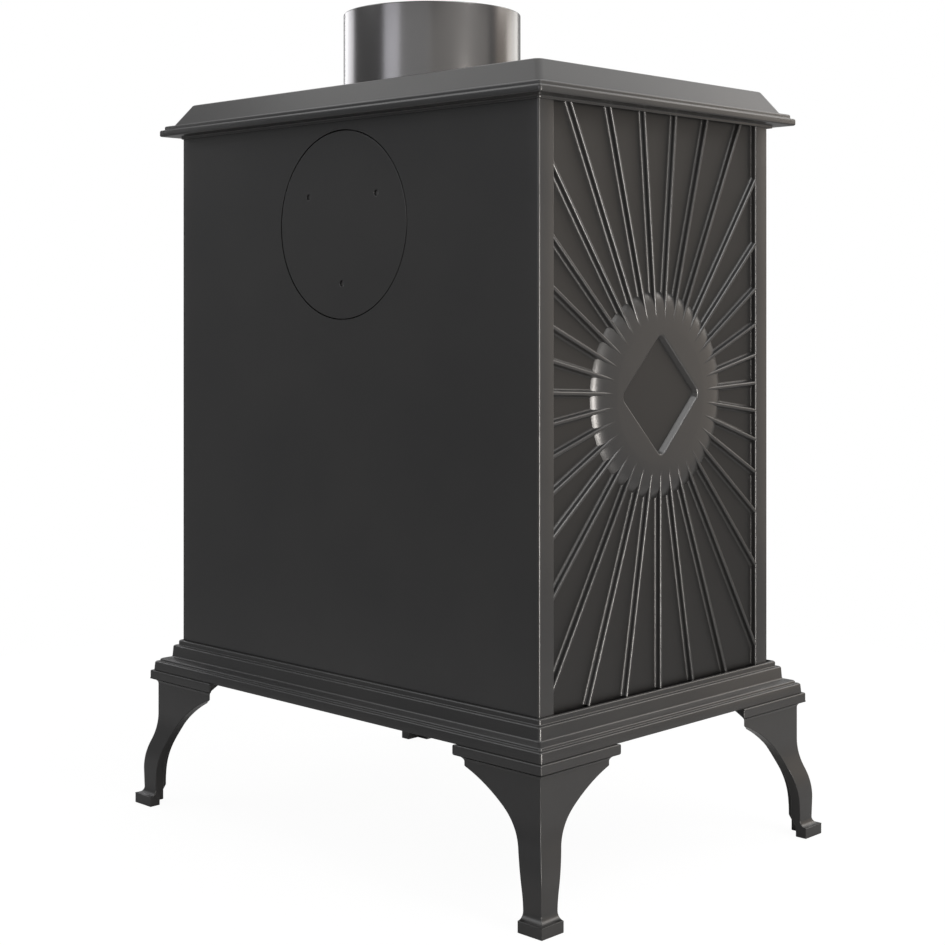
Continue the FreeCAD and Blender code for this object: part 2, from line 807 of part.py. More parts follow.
def vent_slots(y0, y1):
    """Air slots above the door."""
    slots = []
    for x in vent_centres():
        left = x - vent_length / 2
        low = slide_mid_z - vent_height / 2
        slots.append(box(left, left + vent_length, y0, y1, low, low + vent_height))
    return slots


def front_frame():
    """Front casting with the door and ash openings, air slots and two hinge lugs."""
    face_half = half_width - frame_lap
    plate = box(-face_half, face_half, front_y, side_front_y, panel_bottom, panel_top)
    inner_half = inner_x - seat_gap
    tongue = box(-inner_half, inner_half, side_front_y, inner_front_y, panel_bottom, panel_top)
    plate = fused([plate, tongue])
    plate = plate.cut(door_loop(door_lap, window_round, front_y).extrude(Vec(0, frame_wall, 0)))
    plate = plate.cut(box(-ash_half, ash_half, front_y, inner_front_y, ash_bottom, ash_top))
    lugs = []
    holes = vent_slots(front_y, inner_front_y)
    for low in hinge_lug_bottoms:
        high = low + lug_height
        lugs.append(upright(hinge_radius, hinge_x, hinge_y, low, high))
        lugs.append(box(hinge_x - hinge_radius, hinge_x + hinge_radius, hinge_y, front_y, low, high))
        holes.append(upright(hinge_pin_radius + hole_gap, hinge_x, hinge_y, low, high))
    plate = fused([plate] + lugs)
    for x in (-slide_screw_spread, slide_screw_spread):
        holes.append(along_y(slide_screw_radius + hole_gap, x, slide_mid_z, front_y, inner_front_y))
    for hole in holes:
        plate = plate.cut(hole)
    return plate


def hinge_pins():
    """Drop-in hinge pins with a head over each door knuckle."""
    pins = []
    for low in hinge_lug_bottoms:
        head_z = low + lug_height + run_gap + knuckle_height + run_gap
        pin = upright(hinge_pin_radius, hinge_x, hinge_y, low, head_z)
        head = upright(pin_head_radius, hinge_x, hinge_y, head_z, head_z + pin_head_height)
        pins.append(fused([pin, head]))
    return Part.makeCompound(pins)


def window_loop(grow, radius, y):
    """Window outline of the door, grown by an amount."""
    return rounded(
        -door_half + window_side - grow,
        door_half - window_side + grow,
        door_bottom + window_bottom - grow,
        door_top - window_top + grow,
        radius,
        facing_front(y),
    )


def door_loop(inset, radius, y):
    """Door outline, drawn in by an amount."""
    right = door_half - inset
    return rounded(-right, right, door_bottom + inset, door_top - inset, radius, facing_front(y))


def door():
    """Cast door with a bevelled face, a window, a glass rebate, a rope groove and two knuckles."""
    shoulder_y = door_front_y + door_bevel
    slab = door_loop(0, door_round, shoulder_y).extrude(Vec(0, door_back_y - shoulder_y, 0))
    face_loops = [door_loop(0, door_round, shoulder_y).OuterWire]
    face_loops.append(door_loop(door_bevel, door_round - door_bevel, door_front_y).OuterWire)
    body = fused([slab, Part.makeLoft(face_loops, True, True)])
    body = body.cut(window_loop(0, window_round, door_front_y).extrude(Vec(0, door_wall, 0)))
    splay = [window_loop(window_bevel, window_round + window_bevel, door_front_y).OuterWire]
    splay.append(window_loop(0, window_round, door_front_y + window_bevel).OuterWire)
    body = body.cut(Part.makeLoft(splay, True, True))
    rebate_y = door_back_y - glass_wall - glass_seal
    body = body.cut(window_loop(glass_lap + run_gap, window_round, rebate_y).extrude(Vec(0, door_wall, 0)))
    groove = rope_ring(rope_width + 2 * run_gap, door_back_y - rope_depth, door_back_y)
    body = body.cut(groove)
    knuckles = []
    for low in hinge_lug_bottoms:
        z0 = low + lug_height + run_gap
        knuckles.append(upright(hinge_radius, hinge_x, hinge_y, z0, z0 + knuckle_height))
        web_x = hinge_x + hinge_side + door_bevel
        knuckles.append(box(hinge_x, web_x, hinge_y - door_bevel, door_back_y, z0, z0 + knuckle_height))
    body = fused([body] + knuckles)
    holes = [along_y(spindle_radius + hole_gap, spindle_x, door_mid_z, door_front_y, door_back_y)]
    for low in hinge_lug_bottoms:
        z0 = low + lug_height + run_gap
        holes.append(upright(hinge_pin_radius + hole_gap, hinge_x, hinge_y, z0, z0 + knuckle_height))
    for x, z, sign in clip_places():
        screw_z = z + sign * clip_width / 4
        holes.append(along_y(fixing_radius + hole_gap, x, screw_z, door_back_y - glass_wall, door_back_y))
    for hole in holes:
        body = body.cut(hole)
    return body


def rope_ring(width, y0, y1):
    outer = door_loop(rope_inset - width / 2, door_round, y0).extrude(Vec(0, y1 - y0, 0))
    inner = door_loop(rope_inset + width / 2, door_round / 2, y0).extrude(Vec(0, y1 - y0, 0))
    return outer.cut(inner)


def door_rope():
    """Rope seal in the groove at the back of the door."""
    return rope_ring(rope_width, door_back_y - rope_depth, front_y - rope_clear)


def door_glass():
    return window_loop(glass_lap, window_round, door_back_y - glass_wall).extrude(Vec(0, glass_wall, 0))


def glass_seal_ring():
    seal_y = door_back_y - glass_wall - glass_seal
    outer = window_loop(glass_lap, window_round, seal_y).extrude(Vec(0, glass_seal, 0))
    inner = window_loop(glass_lap - glass_seal_width, window_round, seal_y).extrude(Vec(0, glass_seal, 0))
    return outer.cut(inner)


def clip_places():
    """Glass clips as x, z of the glass edge and the way out from it."""
    low = door_bottom + window_bottom - glass_lap - run_gap
    high = door_top - window_top + glass_lap + run_gap
    spread = min(clip_spread, door_half - window_side - clip_length / 2)
    return [(x, z, sign) for x in (-spread, spread) for z, sign in ((low, -1), (high, 1))]


def glass_clips():
    clips = []
    half = clip_length / 2
    seat = door_back_y + clip_wall
    for x, z, sign in clip_places():
        clip = box(x - half, x + half, door_back_y, seat, z - clip_width / 2, z + clip_width / 2)
        screw_z = z + sign * clip_width / 4
        clips.append(clip.cut(along_y(fixing_radius + hole_gap, x, screw_z, door_back_y, seat)))
    return Part.makeCompound(clips)


def clip_screws():
    screws = []
    for x, z, sign in clip_places():
        screw_z = z + sign * clip_width / 4
        seat = door_back_y + clip_wall
        shank = along_y(fixing_radius, x, screw_z, door_back_y - glass_wall, seat)
        head = along_y(fixing_head_radius, x, screw_z, seat, seat + fixing_head_height)
        screws.append(fused([shank, head]))
    return Part.makeCompound(screws)


def handle_spindle():
    """Spindle through the door, from the handle's hub to the latch nut."""
    back = inner_front_y + 2 * run_gap + latch_wall + nut_height
    return along_y(spindle_radius, spindle_x, door_mid_z, front_y - grip_axis_out, back)


def handle_lever():
    """Hub on the spindle with a neck that carries the grip."""
    axis_y = front_y - grip_axis_out
    hub = along_y(handle_hub_radius, spindle_x, door_mid_z, axis_y - spindle_radius, door_front_y - run_gap)
    neck = upright(grip_neck_radius, spindle_x, axis_y + grip_radius / 4, grip_top, door_mid_z)
    hub = fused([hub, neck])
    return hub.cut(along_y(spindle_radius + hole_gap, spindle_x, door_mid_z, axis_y, door_front_y))


def handle_grip():
    """Turned grip that hangs from the lever."""
    axis_y = front_y - grip_axis_out
    low = grip_top - grip_length
    belly = (grip_radius, low + grip_belly)
    end_arc = tangent_arc(belly, -math.pi / 2, (grip_end_radius, low))[0]
    neck_arc = tangent_arc(belly, math.pi / 2, (grip_neck_radius, grip_top))[0]
    section = [(0, low), (grip_end_radius, low), (end_arc[0], belly), neck_arc, (0, grip_top)]
    face = outline(section, lambda r, z: Vec(spindle_x + r, axis_y, z))
    return face.revolve(Vec(spindle_x, axis_y, 0), Vec(0, 0, 1), 360)


def latch_cam():
    """Latch on the inner end of the spindle; upright it clears the frame, turned it hooks behind it."""
    y0 = inner_front_y + 2 * run_gap
    y1 = y0 + latch_wall
    hub = along_y(latch_hub_radius, spindle_x, door_mid_z, y0, y1)
    half = latch_hub_radius / 2
    finger = box(spindle_x - half, spindle_x + half, y0, y1, door_mid_z, door_mid_z + latch_reach)
    cam = fused([hub, finger])
    return cam.cut(along_y(spindle_radius + hole_gap, spindle_x, door_mid_z, y0, y1))


def latch_nut():
    y0 = inner_front_y + 2 * run_gap + latch_wall
    corner = nut_across / math.sqrt(3)
    turns = [math.radians(60 * k) for k in range(6)]
    points = [(spindle_x + corner * math.cos(t), door_mid_z + corner * math.sin(t)) for t in turns]
    nut = outline(points, facing_front(y0)).extrude(Vec(0, nut_height, 0))
    return nut.cut(along_y(spindle_radius + hole_gap, spindle_x, door_mid_z, y0, y0 + nut_height))


def air_slide():
    """Slotted slide above the door, on two shouldered screws."""
    back = front_y - run_gap
    front = back - slide_wall
    half = slide_length / 2 + slide_travel / 2
    low = slide_mid_z - slide_height / 2
    plate = box(-half, half, front, back, low, low + slide_height)
    for slot in vent_slots(front, back):
        plate = plate.cut(slot)
    groove = slide_screw_radius + run_gap
    for x in (-slide_screw_spread, slide_screw_spread):
        left = x - slide_travel
        plate = plate.cut(box(left, x, front, back, slide_mid_z - groove, slide_mid_z + groove))
        for end in (left, x):
            plate = plate.cut(along_y(groove, end, slide_mid_z, front, back))
    return plate


def air_slide_screws():
    seat = front_y - run_gap - slide_wall - run_gap
    screws = []
    for x in (-slide_screw_spread, slide_screw_spread):
        shank = along_y(slide_screw_radius, x, slide_mid_z, seat, inner_front_y)
        head = along_y(slide_head_radius, x, slide_mid_z, seat - slide_head_height, seat)
        screws.append(fused([shank, head]))
    return Part.makeCompound(screws)


def turned_knob(radius, neck, length, x, z, foot_y):
    """Turned knob that stands forward from a face: a foot flange, a neck and a ball."""
    flange = neck * knob_flare
    ball_start = length - radius - math.sqrt(radius ** 2 - neck ** 2)
    section = [(0, 0), (flange, 0), (flange, knob_flange), (neck, knob_flange + flange - neck)]
    section.extend([(neck, ball_start), ((radius, length - radius), (0, length))])
    face = outline(section, lambda r, out: Vec(x + r, foot_y - out, z))
    return face.revolve(Vec(x, foot_y, z), Vec(0, 1, 0), 360)


def air_knob():
    face_y = front_y - run_gap - slide_wall
    return turned_knob(air_knob_radius, air_knob_neck, air_knob_length, vent_pitch / 2, slide_mid_z, face_y)


def air_deflector():
    """Bent sheet behind the air slots that turns the air down the glass."""
    half = door_half - door_lap
    low = slide_mid_z - vent_height
    high = slide_mid_z + vent_height
    y0 = inner_front_y
    y1 = y0 + deflector_depth
    flange = box(-half, half, y0, y0 + deflector_wall, high, high + 2 * vent_height)
    roof = box(-half, half, y0, y1, high, high + deflector_wall)
    apron = box(-half, half, y1 - deflector_wall, y1, low - deflector_drop, high + deflector_wall)
    return fused([flange, roof, apron])


def ash_vent_centre():
    return (0, (ash_bottom + ash_top) / 2)


def spin_holes(radius, y0, y1):
    x, z = ash_vent_centre()
    turns = [2 * math.pi * k / spin_hole_count for k in range(spin_hole_count)]
    ring = spin_hole_circle / 2
    return [along_y(radius, x + ring * math.cos(t), z + ring * math.sin(t), y0, y1) for t in turns]


def ash_front():
    """Cast front of the ash drawer with bevelled edges and the vent's air holes."""
    back = front_y - ash_front_lift
    front = back - ash_front_wall
    half = ash_half + ash_lap
    shoulder = front + ash_front_bevel

    def loop(inset, y):
        right = half - inset
        bend = ash_front_round - inset / 2
        return rounded(-right, right, ash_front_bottom + inset, ash_front_top - inset, bend, facing_front(y))

    slab = loop(0, shoulder).extrude(Vec(0, back - shoulder, 0))
    edge = Part.makeLoft([loop(0, shoulder).OuterWire, loop(ash_front_bevel, front).OuterWire], True, True)
    body = fused([slab, edge])
    x, z = ash_vent_centre()
    holes = spin_holes(spin_hole_radius, front, back)
    holes.append(along_y(pull_shank_radius + hole_gap, x, z, front, back))
    for side in (-pan_screw_spread, pan_screw_spread):
        holes.append(along_y(pan_screw_radius + hole_gap, side, pan_screw_z(), shoulder, back))
    for hole in holes:
        body = body.cut(hole)
    return body


def pan_screw_z():
    return pan_bottom + pan_wall + (pan_lip - pan_wall) / 2


def ash_pan():
    """Folded ash tray behind the drawer front, its low front lip open behind the vent."""
    y0 = front_y - ash_front_lift
    y1 = y0 + pan_length
    half = ash_half - ash_side_gap
    inner = half - pan_wall
    floor = pan_bottom + pan_wall
    top = pan_bottom + pan_height
    tray = box(-half, half, y0, y1, pan_bottom, top)
    tray = tray.cut(box(-inner, inner, y0 + pan_wall, y1 - pan_wall, floor, top))
    tray = tray.cut(box(-half, half, y0, y0 + pan_wall, pan_bottom + pan_lip, top))
    tray = tray.cut(box(-spin_radius, spin_radius, y0, y0 + pan_wall, floor, top))
    for side in (-pan_screw_spread, pan_screw_spread):
        tray = tray.cut(along_y(pan_screw_radius + hole_gap, side, pan_screw_z(), y0, y0 + pan_wall))
    return tray


def pan_screws():
    back = front_y - ash_front_lift
    tip = back - ash_front_wall + ash_front_bevel
    seat = back + pan_wall
    screws = []
    for side in (-pan_screw_spread, pan_screw_spread):
        shank = along_y(pan_screw_radius, side, pan_screw_z(), tip, seat)
        head = along_y(pan_screw_radius * 2, side, pan_screw_z(), seat, seat + pan_screw_radius)
        screws.append(fused([shank, head]))
    return Part.makeCompound(screws)


def ash_runners():
    """Two strips on the base floor that carry the ash drawer."""
    y0 = inner_front_y
    y1 = front_y - ash_front_lift + pan_length
    half = runner_width / 2
    runners = []
    for x in (-runner_spread, runner_spread):
        runners.append(box(x - half, x + half, y0, y1, panel_bottom, pan_bottom - run_gap))
    return Part.makeCompound(runners)


def spin_vent():
    """Turning air vent round the shank of the drawer's pull knob."""
    x, z = ash_vent_centre()
    back = front_y - ash_front_lift - ash_front_wall - run_gap
    front = back - spin_wall
    disc = along_y(spin_radius, x, z, front, back)
    stub_turn = math.pi / spin_hole_count
    stub_ring = spin_radius - 1.5 * spin_stub_radius
    stub_x = x + stub_ring * math.cos(stub_turn)
    stub_z = z + stub_ring * math.sin(stub_turn)
    disc = fused([disc, along_y(spin_stub_radius, stub_x, stub_z, front - spin_stub_length, front)])
    for hole in spin_holes(spin_hole_radius, front, back):
        disc = disc.cut(hole)
    return disc.cut(along_y(pull_shank_radius + hole_gap, x, z, front, back))


def drawer_pull():
    """Pull knob whose shank carries the turning vent."""
    x, z = ash_vent_centre()
    back = front_y - ash_front_lift
    foot = back - ash_front_wall - run_gap - spin_wall - run_gap
    shank = along_y(pull_shank_radius, x, z, foot, back)
    knob = turned_knob(pull_head_radius, pull_neck_radius, pull_length, x, z, foot)
    return fused([shank, knob])


def grate_block(grow, z0, z1):
    """The grate's plan, grown by an amount, as a block between two heights."""
    half_x = grate_width / 2 + grow
    half_y = grate_depth / 2 + grow
    return box(-half_x, half_x, grate_y - half_y, grate_y + half_y, z0, z1)


def fire_bed():
    """Bed plate on the panel ledges, with a rebated hole for the grate and room for the tie rods."""
    half = inner_x - bed_gap
    plate = box(-half, half, inner_front_y + bed_gap, inner_back_y - bed_gap, bed_bottom, bed_top)
    plate = plate.cut(grate_block(bed_gap, bed_top - grate_seat, bed_top))
    plate = plate.cut(grate_block(-grate_lap, bed_bottom, bed_top))
    room = corner_room
    for x0, x1 in ((-inner_x, -inner_x + room), (inner_x - room, inner_x)):
        for y0, y1 in ((inner_front_y, inner_front_y + room), (inner_back_y - room, inner_back_y)):
            plate = plate.cut(box(x0, x1, y0, y1, bed_bottom, bed_top))
    return plate


def grate():
    """Bottom grate with long slots, dropped into the bed plate."""
    low = bed_top - grate_seat
    high = low + grate_wall
    plate = grate_block(0, low, high)
    pitch = slotted_width / grate_slots
    run = grate_depth / 2 - 2 * grate_lap
    half = grate_slot_width / 2
    for k in range(grate_slots):
        x = (k - (grate_slots - 1) / 2) * pitch
        plate = plate.cut(box(x - half, x + half, grate_y - run, grate_y + run, low, high))
    return plate


def brick_top(y):
    """Height of the sloping top of the side bricks."""
    share = (brick_back_y - y) / (brick_back_y - brick_front_y)
    return brick_back_top + brick_rise * share


def firebrick_left():
    """Side brick with a sloping top that carries the baffle."""
    profile = [(brick_back_y, bed_top), (brick_back_y, brick_top(brick_back_y))]
    profile.extend([(brick_front_y, brick_top(brick_front_y)), (brick_front_y, bed_top)])
    return outline(profile, facing_side(-inner_x)).extrude(Vec(brick_wall, 0, 0))


def firebrick_back():
    half = inner_x - brick_wall - bed_gap
    return box(-half, half, inner_back_y - brick_wall, inner_back_y, bed_top, brick_back_top)


def baffle():
    """Sloping throat plate on the side bricks."""
    slope = math.atan2(brick_rise, brick_back_y - brick_front_y)
    rise = baffle_wall / math.cos(slope)
    front = inner_front_y + baffle_throat
    low = [(brick_back_y, brick_top(brick_back_y)), (front, brick_top(front))]
    high = [(front, brick_top(front) + rise), (brick_back_y, brick_top(brick_back_y) + rise)]
    half = inner_x - bed_gap
    return outline(low + high, facing_side(-half)).extrude(Vec(2 * half, 0, 0))


def log_guard():
    """Upright fret in front of the fire bed that keeps logs off the glass."""
    half = inner_x - brick_wall - bed_gap
    y1 = front_y + guard_back
    plate = box(-half, half, y1 - guard_wall, y1, bed_top, bed_top + guard_height)
    pitch = 2 * half / guard_slots
    for k in range(guard_slots):
        x = (k - (guard_slots - 1) / 2) * pitch
        left = x - guard_slot_width / 2
        right = x + guard_slot_width / 2
        low = bed_top + guard_rim
        high = bed_top + guard_height - guard_rim
        slot = rounded(left, right, low, high, guard_slot_round, facing_front(y1 - guard_wall))
        plate = plate.cut(slot.extrude(Vec(0, guard_wall, 0)))
    return plate


def build():
    """Every piece by its name."""
    left_panel = side_panel_left()
    left_brick = firebrick_left()
    rear_right = rear_right_leg()
    front_right = mirrored_y(rear_right)
    return {
        "base_plinth": base_plinth(),
        "leg_rear_right": rear_right,
        "leg_rear_left": mirrored_x(rear_right),
        "leg_front_right": front_right,
        "leg_front_left": mirrored_x(front_right),
        "leg_bolts": leg_bolts(),
        "back_panel": back_panel(),
        "rear_cover": rear_cover(),
        "rear_cover_gasket": rear_cover_gasket(),
        "rear_cover_clamp": rear_cover_clamp(),
        "rear_cover_screws": rear_cover_screws(),
        "side_panel_left": left_panel,
        "side_panel_right": mirrored_x(left_panel),
        "top_plate": top_plate(),
        "flue_collar": flue_collar(),
        "collar_gasket": collar_gasket(),
        "collar_clamp": collar_clamp(),
        "collar_screws": collar_screws(),
        "tie_rods": tie_rods(),
        "tie_nuts": tie_nuts(),
        "front_frame": front_frame(),
        "hinge_pins": hinge_pins(),
        "door": door(),
        "door_rope": door_rope(),
        "door_glass": door_glass(),
        "glass_seal": glass_seal_ring(),
        "glass_clips": glass_clips(),
        "clip_screws": clip_screws(),
        "handle_spindle": handle_spindle(),
        "handle_lever": handle_lever(),
        "handle_grip": handle_grip(),
        "latch_cam": latch_cam(),
        "latch_nut": latch_nut(),
        "air_slide": air_slide(),
        "air_slide_screws": air_slide_screws(),
        "air_knob": air_knob(),
        "air_deflector": air_deflector(),
        "ash_front": ash_front(),
        "ash_pan": ash_pan(),
        "pan_screws": pan_screws(),
        "ash_runners": ash_runners(),
        "spin_vent": spin_vent(),
        "drawer_pull": drawer_pull(),
        "fire_bed": fire_bed(),
        "grate": grate(),
        "firebrick_left": left_brick,
        "firebrick_right": mirrored_x(left_brick),
        "firebrick_back": firebrick_back(),
        "baffle": baffle(),
        "log_guard": log_guard(),
    }


os.makedirs("parts", exist_ok=True)
for name, shape in build().items():
    shape.exportStep("parts/" + name + ".step")
    print(name, len(shape.Solids), shape.isValid(), round(shape.Volume))
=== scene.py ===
"""Looks of a small cast iron stove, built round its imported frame."""

import json
import math

import bmesh
import bpy
from bpy.props import FloatProperty, FloatVectorProperty, IntProperty, PointerProperty
from mathutils import Matrix, Vector


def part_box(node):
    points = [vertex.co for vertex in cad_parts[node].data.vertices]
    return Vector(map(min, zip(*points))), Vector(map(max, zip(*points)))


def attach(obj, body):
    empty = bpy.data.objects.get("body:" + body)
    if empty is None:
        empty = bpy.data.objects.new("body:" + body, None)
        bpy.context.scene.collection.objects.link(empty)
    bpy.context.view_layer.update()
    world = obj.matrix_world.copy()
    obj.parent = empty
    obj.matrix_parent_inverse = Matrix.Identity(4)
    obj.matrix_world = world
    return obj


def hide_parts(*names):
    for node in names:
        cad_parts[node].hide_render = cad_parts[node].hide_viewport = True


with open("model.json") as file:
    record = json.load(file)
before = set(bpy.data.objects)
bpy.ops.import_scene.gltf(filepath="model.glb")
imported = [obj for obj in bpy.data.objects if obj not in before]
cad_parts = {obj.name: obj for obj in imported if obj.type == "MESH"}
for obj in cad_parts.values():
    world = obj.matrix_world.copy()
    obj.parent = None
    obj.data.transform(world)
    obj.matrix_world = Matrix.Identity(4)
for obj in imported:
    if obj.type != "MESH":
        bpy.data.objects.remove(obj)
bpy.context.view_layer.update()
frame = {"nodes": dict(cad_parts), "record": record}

bl_info = {
    "name": "Sunburst Stove",
    "version": (1, 0, 0),
    "blender": (4, 5, 0),
    "location": "View3D > Sidebar > Stove",
    "description": "Cast, turned and glazed pieces of a small stove, with its finishes and studio",
    "category": "Add Mesh",
}

# Edges bent further than this are rounded, and stay sharp in shading
SHARP = math.radians(34)
# Triangles bent less than this make one flat face, and points nearer than this are one point
FLAT = math.radians(0.3)
WELD = 0.000002


def length(label, text, value):
    return FloatProperty(name=label, description=text, default=value, min=0.0, unit="LENGTH", precision=5)


def colour(label, text, value):
    return FloatVectorProperty(
        name=label, description=text, default=value, size=3, min=0, max=1, subtype="COLOR"
    )


def strength(label, text, value):
    return FloatProperty(name=label, description=text, default=value, min=0.0)


class StoveEdges(bpy.types.PropertyGroup):
    """Rounding of the castings' and fittings' edges."""

    moulding: length("Moulding", "Edge rounding of plinth, top plate and borders", 0.0010)
    front_proud: length("Front", "How far the front frame stands ahead of the side panels", 0.004)
    panel: length("Panels", "Edge rounding of front frame and panel corners", 0.0012)
    leg: length("Legs", "Edge rounding of the legs' heads, halved below", 0.0008)
    door: length("Door", "Edge rounding of door and ash front", 0.0008)
    fitting: length("Fittings", "Edge rounding of small turned and cut pieces", 0.0004)
    brick: length("Bricks", "Edge rounding of the lining", 0.0012)


class StoveSunburst(bpy.types.PropertyGroup):
    """Relief of the side panels."""

    rays: IntProperty(name="Rays", description="Number of rays round the disc", default=35, min=3)
    wall: length("Wall", "Panel thickness over the borders", 0.009)
    relief: length("Relief", "Height of borders, disc and rays above the field", 0.0032)
    border: length("Border", "Width of the two upright borders", 0.012)
    centre: length("Centre", "Disc centre above the panel's lower edge", 0.168)
    face: length("Face", "Radius of the disc's flat face", 0.0378)
    rim: length("Rim", "Width of the disc's rounded rim", 0.0195)
    lozenge: length("Lozenge", "Lozenge from corner to corner", 0.066)
    lozenge_round: length("Lozenge corner", "Corner radius of the lozenge", 0.0045)
    lozenge_depth: length("Lozenge depth", "Depth of the lozenge below the disc's face", 0.0030)
    lozenge_draft: length("Lozenge draft", "Inward slope of the lozenge's walls", 0.0020)
    lip: length("Lip", "Edge rounding of the lozenge", 0.0008)
    ray_base: length("Ray base", "Width of a ray at the field", 0.0027)
    ray_top: length("Ray top", "Width of a ray under its crown", 0.0023)
    ray_crown: length("Ray crown", "Height of the round crown of a ray", 0.0009)
    fillet: length("Fillet", "Hollow rounding at the foot of a ray", 0.0015)
    ray_start: length("Ray start", "Distance of the rays' inner ends from the disc's middle", 0.0416)
    ray_sink: length("Ray sink", "How far the rays stay below the borders", 0.0001)


class StoveFlue(bpy.types.PropertyGroup):
    """Section of the flue collar."""

    bore: length("Bore", "Radius of the bore that takes the pipe", 0.0508)
    outside: length("Outside", "Outer radius of the tube", 0.05325)
    flange: length("Flange", "Radius of the flange sunk into the hob", 0.054)
    ledge: length("Ledge", "Width of the ledge that the pipe stands on", 0.002)
    seat: length("Seat", "Height of that ledge above the floor", 0.4481)
    hob: length("Hob", "Height of the hob above the floor", 0.442)
    rim: length("Rim", "Height of the rim above the floor", 0.4892)
    rounding: length("Rounding", "Edge rounding of the rim", 0.0006)


class StoveFinishes(bpy.types.PropertyGroup):
    """Colours of the finishes."""

    iron: colour("Iron paint", "Satin charcoal paint of the castings", (0.0095, 0.0095, 0.0098))
    iron_light: colour("Iron paint, worn", "Paler places in the paint", (0.0135, 0.0132, 0.0130))
    # Painted shade: darker paint for the sunburst's low field, lozenge floor and ray feet, where shade falls
    iron_painted_shade: colour("Iron paint, sunk", "Darker paint in the sunburst's field", (0.0045, 0.0044, 0.0044))
    collar: colour("Collar", "Smooth dark metal of the flue collar", (0.115, 0.113, 0.113))
    fixing: colour("Fixings", "Blackened steel", (0.055, 0.054, 0.053))
    sheet: colour("Sheet", "Pressed steel inside", (0.22, 0.215, 0.21))
    hot: colour("Fire iron", "Bare iron dulled by heat", (0.075, 0.070, 0.066))
    steel: colour("Steel", "Turned steel of handle and knobs", (0.58, 0.57, 0.55))
    seal: colour("Seal", "Dark rope and tape", (0.055, 0.053, 0.05))
    brick: colour("Brick", "Pale vermiculite", (0.62, 0.53, 0.40))
    flake: colour("Brick flakes", "Golden flakes in the brick", (0.42, 0.31, 0.17))
    glass: colour("Glass", "Smoky tint of the door's glass", (0.020, 0.019, 0.018))
    floor: colour("Floor", "Pale studio floor", (0.36, 0.36, 0.36))


class StoveStage(bpy.types.PropertyGroup):
    """Camera and light of the studio."""

    eye: FloatVectorProperty(
        name="Eye", description="Camera position", default=(-0.7477, 0.7737, 0.3108), size=3,
        subtype="TRANSLATION",
    )
    heading: FloatProperty(
        name="Heading", description="Turn of the level camera", default=math.radians(-135.58), subtype="ANGLE"
    )
    lens: FloatProperty(name="Lens", description="Focal length in millimetres", default=65.93, min=1.0)
    rise: FloatProperty(name="Shift", description="Upward shift of the picture", default=-0.1696)
    sky: strength("Sky", "Strength of the even light all round", 0.36)
    key: strength("Key", "Power of the light beside the camera", 35.0)
    fill: strength("Fill", "Power of the broad light behind the camera", 5.7)
    side: strength("Side", "Power of the light on the other side of the camera", 3.0)
    warm: strength("Warm", "Power of the light on the sunburst side", 4.8)
    rib: strength("Ribs", "Power of the raised light on the sunburst side", 3.0)
    edge: strength("Edges", "Power of the small light on the rays' left edges", 5.0)
    high: strength("High", "Power of the light above the sunburst side", 10.0)
    loft: strength("Loft", "Power of the light above the back's side", 6.0)
    top: strength("Top", "Power of the light overhead", 43.0)
    cool: strength("Cool", "Power of the light on the back's side", 3.3)
    back: strength("Back", "Power of the light behind the stove", 4.7)
    front: strength("Front", "Power of the light on the door's side", 4.0)
    floor: length("Floor", "Radius of the round floor", 0.65)
    white: FloatProperty(
        name="White", description="Share of plain white in the floor", default=0.9, min=0, max=1
    )


class Value:
    """A socket in a node tree. Arithmetic on values adds Math nodes to that tree."""

    def __init__(self, graph, socket):
        self.graph = graph
        self.socket = socket

    def math(self, operation, *others):
        inputs = dict(enumerate((self,) + others))
        return self.graph.add("ShaderNodeMath", {"operation": operation}, inputs)

    def __add__(self, other):
        return self.math("ADD", other)

    __radd__ = __add__

    def __sub__(self, other):
        return self.math("SUBTRACT", other)

    def __rsub__(self, other):
        return self.graph.add("ShaderNodeMath", {"operation": "SUBTRACT"}, {0: other, 1: self})

    def __mul__(self, other):
        return self.math("MULTIPLY", other)

    def __truediv__(self, other):
        return self.math("DIVIDE", other)


class Graph:
    """A node tree that grows node by node."""

    def __init__(self, tree):
        self.tree = tree

    def add(self, kind, settings=None, inputs=None, output=0):
        """Add a node, set it up, fill its sockets and return one of its outputs."""
        node = self.tree.nodes.new(kind)
        for name, value in (settings or {}).items():
            setattr(node, name, value)
        for name, value in (inputs or {}).items():
            if isinstance(value, Value):
                self.tree.links.new(value.socket, node.inputs[name])
            else:
                node.inputs[name].default_value = value
        return Value(self, node.outputs[output]) if node.outputs else None


